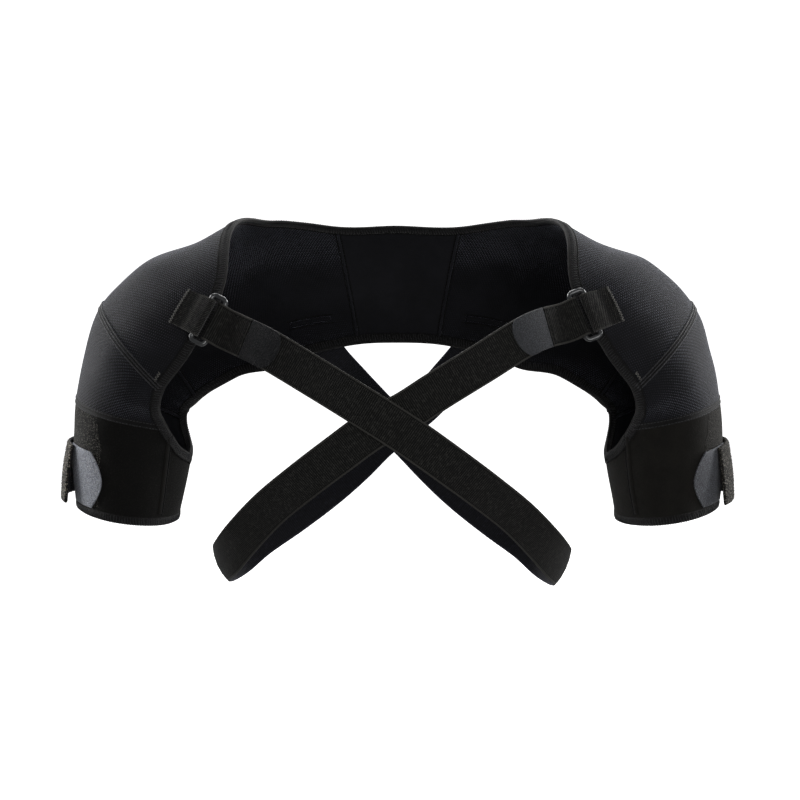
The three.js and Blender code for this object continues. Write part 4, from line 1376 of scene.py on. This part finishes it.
class BRACE_OT_closures(bpy.types.Operator):
    """Builds the brushed closure strips and their grey hook tabs"""

    bl_idname = "brace.closures"
    bl_label = "Cuff closures"

    def execute(self, context):
        web, looks = context.scene.brace_webbing, finishes()
        fibre = thread_object("Fibre", [(0, 0, -0.0002), (0.0001, 0, 0.0004), (0.0004, 0.0002, 0.0007)],
                              0.00006, sides=3)
        for name, side in SIDES:
            angles = np.linspace(CLOSURE_BACK, CLOSURE_FRONT + STRIP_FURTHER[name], 60)
            flat = np.ones(len(angles))
            grid, out, uv = cuff_patch(side, angles, flat * CLOSURE_LOW, flat * CLOSURE_HIGH, closure_lift,
                                       CLOSURE_THICKNESS)
            sewn = slab(grid, out, uv, CLOSURE_THICKNESS, slots=(0, 1))
            strip = sewn.piece(
                f"closure_strip_{name}_cloth", [looks[f"Closure nap {name}"], looks[CLOSURE_INSIDE[name]]])
            settle(strip, f"closure_strip_{name}")
            area = area_of(grid)
            fur = grown(f"closure_fibres_{name}", strip.data.copy(), nap_tree(), {
                "Pattern": fibre, "Density": web.fibres * 1e4, "Seed": 11,
                "Finish": looks[f"Closure nap {name}"]})
            settle(fur, None)
            tip = CLOSURE_FRONT + TAB_REACH
            arc = np.linspace(1, 0.1, 22)
            angles = np.concatenate((np.linspace(CLOSURE_FRONT - TAB_TUCK, tip - TAB_ARC, 30)[:-1],
                                     tip - TAB_ARC * arc ** 2))
            bow = np.concatenate((np.zeros(29), 1 - arc ** 1.15))
            middle = (CLOSURE_LOW + CLOSURE_HIGH) / 2
            low = CLOSURE_LOW + (middle - CLOSURE_LOW) * bow
            high = CLOSURE_HIGH + (middle - CLOSURE_HIGH) * bow
            grid, out, uv = cuff_patch(side, angles, low, high,
                                       lambda share, place: np.full(place.shape, FIT_GAP), HOOK_TAB_THICKNESS)
            tab = slab(grid, out, uv, HOOK_TAB_THICKNESS).piece(
                f"closure_tab_{name}_tape", [looks[f"Cuff hook tape {name}"]])
            settle(tab, f"closure_tab_{name}")
            area = area_of(grid)
        bpy.data.objects.remove(fibre)
        return {"FINISHED"}


def pressed_on(points, side, height):
    """The points of the shell nearest to the given ones, lifted by a height."""
    along = np.full(len(points), side * RING_ALONG)
    angle = np.full(len(points), float(EDGE["neckline"](RING_ALONG)))
    for _ in range(10):
        here = shell_face(along, angle)
        offset = points - here
        a = shell_face(along + ALONG_STEP, angle) - here
        b = shell_face(along, angle + ANGLE_STEP) - here
        aa, ab, bb = (a * a).sum(-1), (a * b).sum(-1), (b * b).sum(-1)
        ao, bo = (a * offset).sum(-1), (b * offset).sum(-1)
        scale = aa * bb - ab * ab
        along = along + ALONG_STEP * (ao * bb - bo * ab) / scale
        angle = angle + ANGLE_STEP * (bo * aa - ao * ab) / scale
    return on_shell(along, angle, np.full(len(points), height)), shell_frame(along, angle)[2]


class BRACE_OT_rings_and_anchors(bpy.types.Operator):
    """Builds the rings and the short webbing that holds them"""

    bl_idname = "brace.rings_and_anchors"
    bl_label = "Rings and anchors"

    def execute(self, context):
        cloth, looks = context.scene.brace_cloth, finishes()
        radius = cloth.thread_radius
        stitch = thread_object("Anchor thread", bowed(0.0021, STITCH_BOW, radius * 0.5), radius)
        tack = thread_object("Tack thread", bowed(0.0022, STITCH_BOW, JUST_OFF, 1), radius)
        rows, tacks = [], []
        for name, side in SIDES:
            middle, out, towards, lengthways = ring_seat(side)
            long_half = (RING_LENGTH - RING_WIRE) / 2 - RING_CORNER
            short_half = (RING_WIDTH - RING_WIRE) / 2 - RING_CORNER
            centres, away = [], []
            for corner, (a, b) in enumerate(((1, 1), (1, -1), (-1, -1), (-1, 1))):
                for turn in np.linspace(corner * math.pi / 2, (corner + 1) * math.pi / 2, 13):
                    ray = lengthways * math.sin(turn) + towards * math.cos(turn)
                    centres.append(
                        middle + lengthways * a * long_half + towards * b * short_half + ray * RING_CORNER)
                    away.append(ray)
            centres, away = np.array(centres), np.array(away)
            turns = np.linspace(0, 2 * math.pi, 25)
            thick = RING_WIRE / 2 + FIT_GAP * 0.8
            grid = (centres[:, None] + away[:, None] * (np.cos(turns) * thick)[None, :, None]
                    + out * (np.sin(turns) * thick)[None, :, None])
            ring = Sewn().grid(grid, flat_uv(grid), ring=True).piece(
                f"ring_{name}_moulded", [looks["Ring plastic"]])
            settle(ring, f"ring_{name}")

            bar = -(RING_WIDTH - RING_WIRE) / 2
            wide = (WEB_SHARES * WEB_WIDTH / 2)[:, None]
            points, normals = [], []

            def sewn_row(distance, layer):
                low = FIT_GAP + layer * (WEB_THICKNESS + FIT_GAP) + WEB_THICKNESS / 2
                face, up = pressed_on(middle + towards * (bar - distance) - lengthways * wide, side, low)
                points.append(face)
                normals.append(up if layer else -up)

            reach = np.linspace(1, 0.6, 10) * ANCHOR_LENGTH
            for distance in reach:
                sewn_row(distance, 1)
            for point, across, ray in zip(*turn_round_bar(side, -1)):
                points.append(point + across * wide)
                normals.append(np.repeat(ray[None], len(WEB_SHARES), axis=0))
            for distance in reach[::-1]:
                sewn_row(distance, 0)
            points, normals = np.array(points), np.array(normals)
            sewn = slab(points, normals, flat_uv(points), WEB_THICKNESS)
            tab = sewn.piece(f"anchor_tab_{name}_webbing", [looks["Anchor weave"]])
            settle(tab, f"anchor_tab_{name}")
            area_of(points) / WEB_WIDTH
            raised = points + normals * (WEB_THICKNESS / 2 + JUST_OFF)
            tacks.append(run_of(raised[0] + (points[1] - points[0]) * 0.4, normals[0]))
            rows += [run_of(raised[row, 2:-2], normals[row, 2:-2]) for row in (2, 3, 6)]
        stitched("anchor_stitches", rows, stitch, 0.0026, looks["Dark thread"], seed=8)
        stitched("anchor_tacks", tacks, tack, TACK_PITCH, looks["Light thread"],
                 zigzag=0.4, seed=10)
        for helper in (stitch, tack):
            bpy.data.objects.remove(helper)
        return {"FINISHED"}


def cross_row(run, stops, half):
    """A row of stitches across the webbing at one place along it."""
    points, across, out = part_of_run(run, *stops)
    line = points[:1] + across[:1] * np.linspace(-half, half, 24)[:, None]
    return run_of(line, np.repeat(out[:1], 24, axis=0))


class BRACE_OT_straps(bpy.types.Operator):
    """Builds the elastic straps, their stitched folds and their hook tabs"""

    bl_idname = "brace.straps"
    bl_label = "Straps"

    def execute(self, context):
        cloth, looks = context.scene.brace_cloth, finishes()
        radius = cloth.thread_radius
        stitch = thread_object("Strap thread", bowed(0.0024, 0.0002, radius * 0.5), radius * 1.6)
        rows = []
        for name, side in SIDES:
            run = strap_run(side)
            clear = RING_WIRE + WEB_THICKNESS * 3
            fold = part_of_run(run, clear, FOLD_LENGTH, WEB_THICKNESS + FIT_GAP)
            turn = turn_round_bar(side, 1)
            points = np.concatenate((fold[0][::-1], turn[0], run[0][1:]))
            across = np.concatenate((-fold[1][::-1], turn[1], -run[1][1:]))
            out = np.concatenate((fold[2][::-1], turn[2], -run[2][1:]))
            grid, normals, uv = web_grid(points, across, out)
            count = len(fold[0]) + len(turn[0])
            face, back = slice(0, count), slice(count - 1, None)
            sewn = slab(grid[face], normals[face], uv[face], WEB_THICKNESS, slots=(0, 1), ends=(True, False))
            slab(grid[back], normals[back], uv[back], WEB_THICKNESS, slots=(1, 0), ends=(False, True),
                 sewn=sewn)
            strap = sewn.piece(f"strap_{name}_webbing", [looks["Strap face"], looks["Strap back"]])
            settle(strap, f"strap_{name}")

            start = FOLD_LENGTH + FIT_GAP
            height = (WEB_THICKNESS + HOOK_TAB_THICKNESS) / 2 + FIT_GAP
            tab = part_of_run(run, start, start + HOOK_TAB_LENGTH, height, 0.0008)
            left = np.linspace(HOOK_TAB_LENGTH, 0, len(tab[0]))
            half = WEB_WIDTH / 2 * rounded_end(np.maximum(1 - left / (WEB_WIDTH / 3.6), 0))
            grid, normals, uv = web_grid(*tab, half=half)
            sewn = slab(grid, normals, uv, HOOK_TAB_THICKNESS)
            piece = sewn.piece(f"strap_tab_{name}_tape", [looks[f"Hook tape {name}"]])
            settle(piece, f"strap_tab_{name}")
            area = min(area_of(grid), WEB_WIDTH * HOOK_TAB_LENGTH)

            lift = (WEB_THICKNESS + JUST_OFF) / 2
            raised = WEB_THICKNESS + FIT_GAP + lift
            total = float(distances(run[0])[-1])
            near, far = clear + 0.006, FOLD_LENGTH - 0.0022
            rows += [cross_row(run, (place, place + 0.001, raised), ROW_HALF)
                     for place in (near, clear + 0.0095, far)]
            points, across, out = part_of_run(run, near, far, raised)
            rows += [run_of(points + across * shift, out) for shift in (-ROW_HALF, ROW_HALF)]
            rows += [cross_row(run, (place - 0.0005, place, lift), SEWN_ROW_HALF)
                     for place in (total - SEWN_LENGTH + 0.002, total - 0.002)]
        stitched("strap_stitches", rows, stitch, 0.0029, looks["Dark thread"], seed=12)
        bpy.data.objects.remove(stitch)
        return {"FINISHED"}


def paper_look(name, colour):
    """White paper that glows a little, so that it stays white under soft light."""
    look = Look(name)
    grain = look.noise(3.0, 3, 0.5)
    shade = look.mixed(grain.ramp(0.3, 0.7), tuple(colour), lighter(colour, 0.99))
    return look.finish(Base_Color=shade, Roughness=0.9, Emission_Color=(1, 1, 1, 1), Emission_Strength=1.1)


def lamp(name, place, aim, power, wide, high):
    """A soft rectangular light."""
    data = bpy.data.lights.new(name, "AREA")
    data.shape = "RECTANGLE"
    data.size, data.size_y, data.energy = wide, high, power
    made = placed(name, data)
    made.location = place
    made.rotation_euler = (Vector(aim) - Vector(place)).to_track_quat("-Z", "Y").to_euler()


class BRACE_OT_stage(bpy.types.Operator):
    """Sets up the floor, the lights and the camera"""

    bl_idname = "brace.stage"
    bl_label = "Studio"

    def execute(self, context):
        scene, stage = context.scene, context.scene.brace_stage
        turns = np.linspace(0, math.pi / 2, 13)
        bend = [(3.0 + 1.5 * math.sin(t), 1.5 * (1 - math.cos(t))) for t in turns]
        line = [(-3.5, 0.0), *bend, (4.5, 6.0)]
        xs = np.linspace(-5, 5, 3)
        points = np.array([[(x, y, z - stage.floor_drop) for x in xs] for y, z in line])
        mesh = bpy.data.meshes.new("studio_floor")
        index = np.arange(points.shape[0] * points.shape[1]).reshape(points.shape[:2])
        faces = [(index[i, j], index[i, j + 1], index[i + 1, j + 1], index[i + 1, j])
                 for i in range(len(line) - 1) for j in range(len(xs) - 1)]
        mesh.from_pydata(points.reshape(-1, 3).tolist(), [], [tuple(int(k) for k in f) for f in faces])
        mesh.materials.append(paper_look("Studio paper", (0.93, 0.93, 0.93, 1)))
        mesh.shade_smooth()
        floor = placed("studio_floor", mesh)
        floor.visible_diffuse = floor.visible_glossy = False

        for name, side in SIDES:
            lamp(f"side_light_{name}", (side * 1.45, 0.55, 0.35), (side * 0.15, 0, -0.1),
                 stage.side_power, 0.8, 1.4)
        lamp("top_light", (0, 1.25, 1.0), (0, 0, -0.05), stage.top_power, 1.6, 0.8)
        lamp("front_light", (0.45, -1.6, 0.0), (0, 0, -0.12), stage.front_power, 1.2, 1.0)

        world = bpy.data.worlds.new("Studio room")
        world.use_nodes = True
        tree = world.node_tree
        way = new_node(tree, "ShaderNodeTexCoord")
        parts = new_node(tree, "ShaderNodeSeparateXYZ", sockets={0: way.outputs["Generated"]})
        fall = new_node(tree, "ShaderNodeMapRange", sockets={
            "Value": parts.outputs[1], "From Min": -0.7, "From Max": 0.8,
            "To Min": stage.room_front, "To Max": stage.room})
        seen = new_node(tree, "ShaderNodeLightPath")
        pick = new_node(tree, "ShaderNodeMix", sockets={
            0: seen.outputs["Is Camera Ray"], 2: fall.outputs[0], 3: 1.0})
        background = tree.nodes["Background"].inputs
        tree.links.new(pick.outputs[0], background["Strength"])
        background["Color"].default_value = (1, 1, 1, 1)
        scene.world = world
        scene.view_settings.view_transform = "Standard"

        aim = Vector((0.0016, 0.0, -0.121))
        tilt, distance = math.radians(8), 1.8
        data = bpy.data.cameras.new("camera")
        data.sensor_width, data.lens, data.clip_end = 36, 101.25, 40
        camera = placed("camera", data)
        camera.location = aim + Vector((0, -math.cos(tilt), math.sin(tilt))) * distance
        camera.rotation_euler = (aim - camera.location).to_track_quat("-Z", "Y").to_euler()
        scene.camera = camera
        return {"FINISHED"}


class BRACE_PT_parts(bpy.types.Panel):
    """Lists the pieces of the brace and the sizes they are made from"""

    bl_idname = "BRACE_PT_parts"
    bl_label = "Shoulder brace"
    bl_space_type = "VIEW_3D"
    bl_region_type = "UI"
    bl_category = "Brace"

    def draw(self, context):
        layout = self.layout
        for step in STEPS:
            layout.operator(step.bl_idname)
        for group in ("brace_cloth", "brace_webbing", "brace_stage"):
            values = getattr(context.scene, group)
            box = layout.box()
            for key in type(values).__annotations__:
                box.prop(values, key)


STEPS = (
    BRACE_OT_shell_panels, BRACE_OT_arm_cuffs, BRACE_OT_edges, BRACE_OT_seams, BRACE_OT_closures,
    BRACE_OT_rings_and_anchors, BRACE_OT_straps, BRACE_OT_stage,
)
GROUPS = {"brace_cloth": BRACE_PG_cloth, "brace_webbing": BRACE_PG_webbing, "brace_stage": BRACE_PG_stage}


def register():
    for made in (*GROUPS.values(), *STEPS, BRACE_PT_parts):
        bpy.utils.register_class(made)
    for name, group in GROUPS.items():
        setattr(bpy.types.Scene, name, PointerProperty(type=group))


def unregister():
    for name in GROUPS:
        delattr(bpy.types.Scene, name)
    for made in (BRACE_PT_parts, *reversed(STEPS), *GROUPS.values()):
        bpy.utils.unregister_class(made)


def main():
    register()
    bpy.ops.brace.shell_panels()
    bpy.ops.brace.arm_cuffs()
    bpy.ops.brace.edges()
    bpy.ops.brace.seams()
    bpy.ops.brace.closures()
    bpy.ops.brace.rings_and_anchors()
    bpy.ops.brace.straps()
    bpy.ops.brace.stage()
    bpy.context.view_layer.update()


if __name__ == "__main__":
    main()
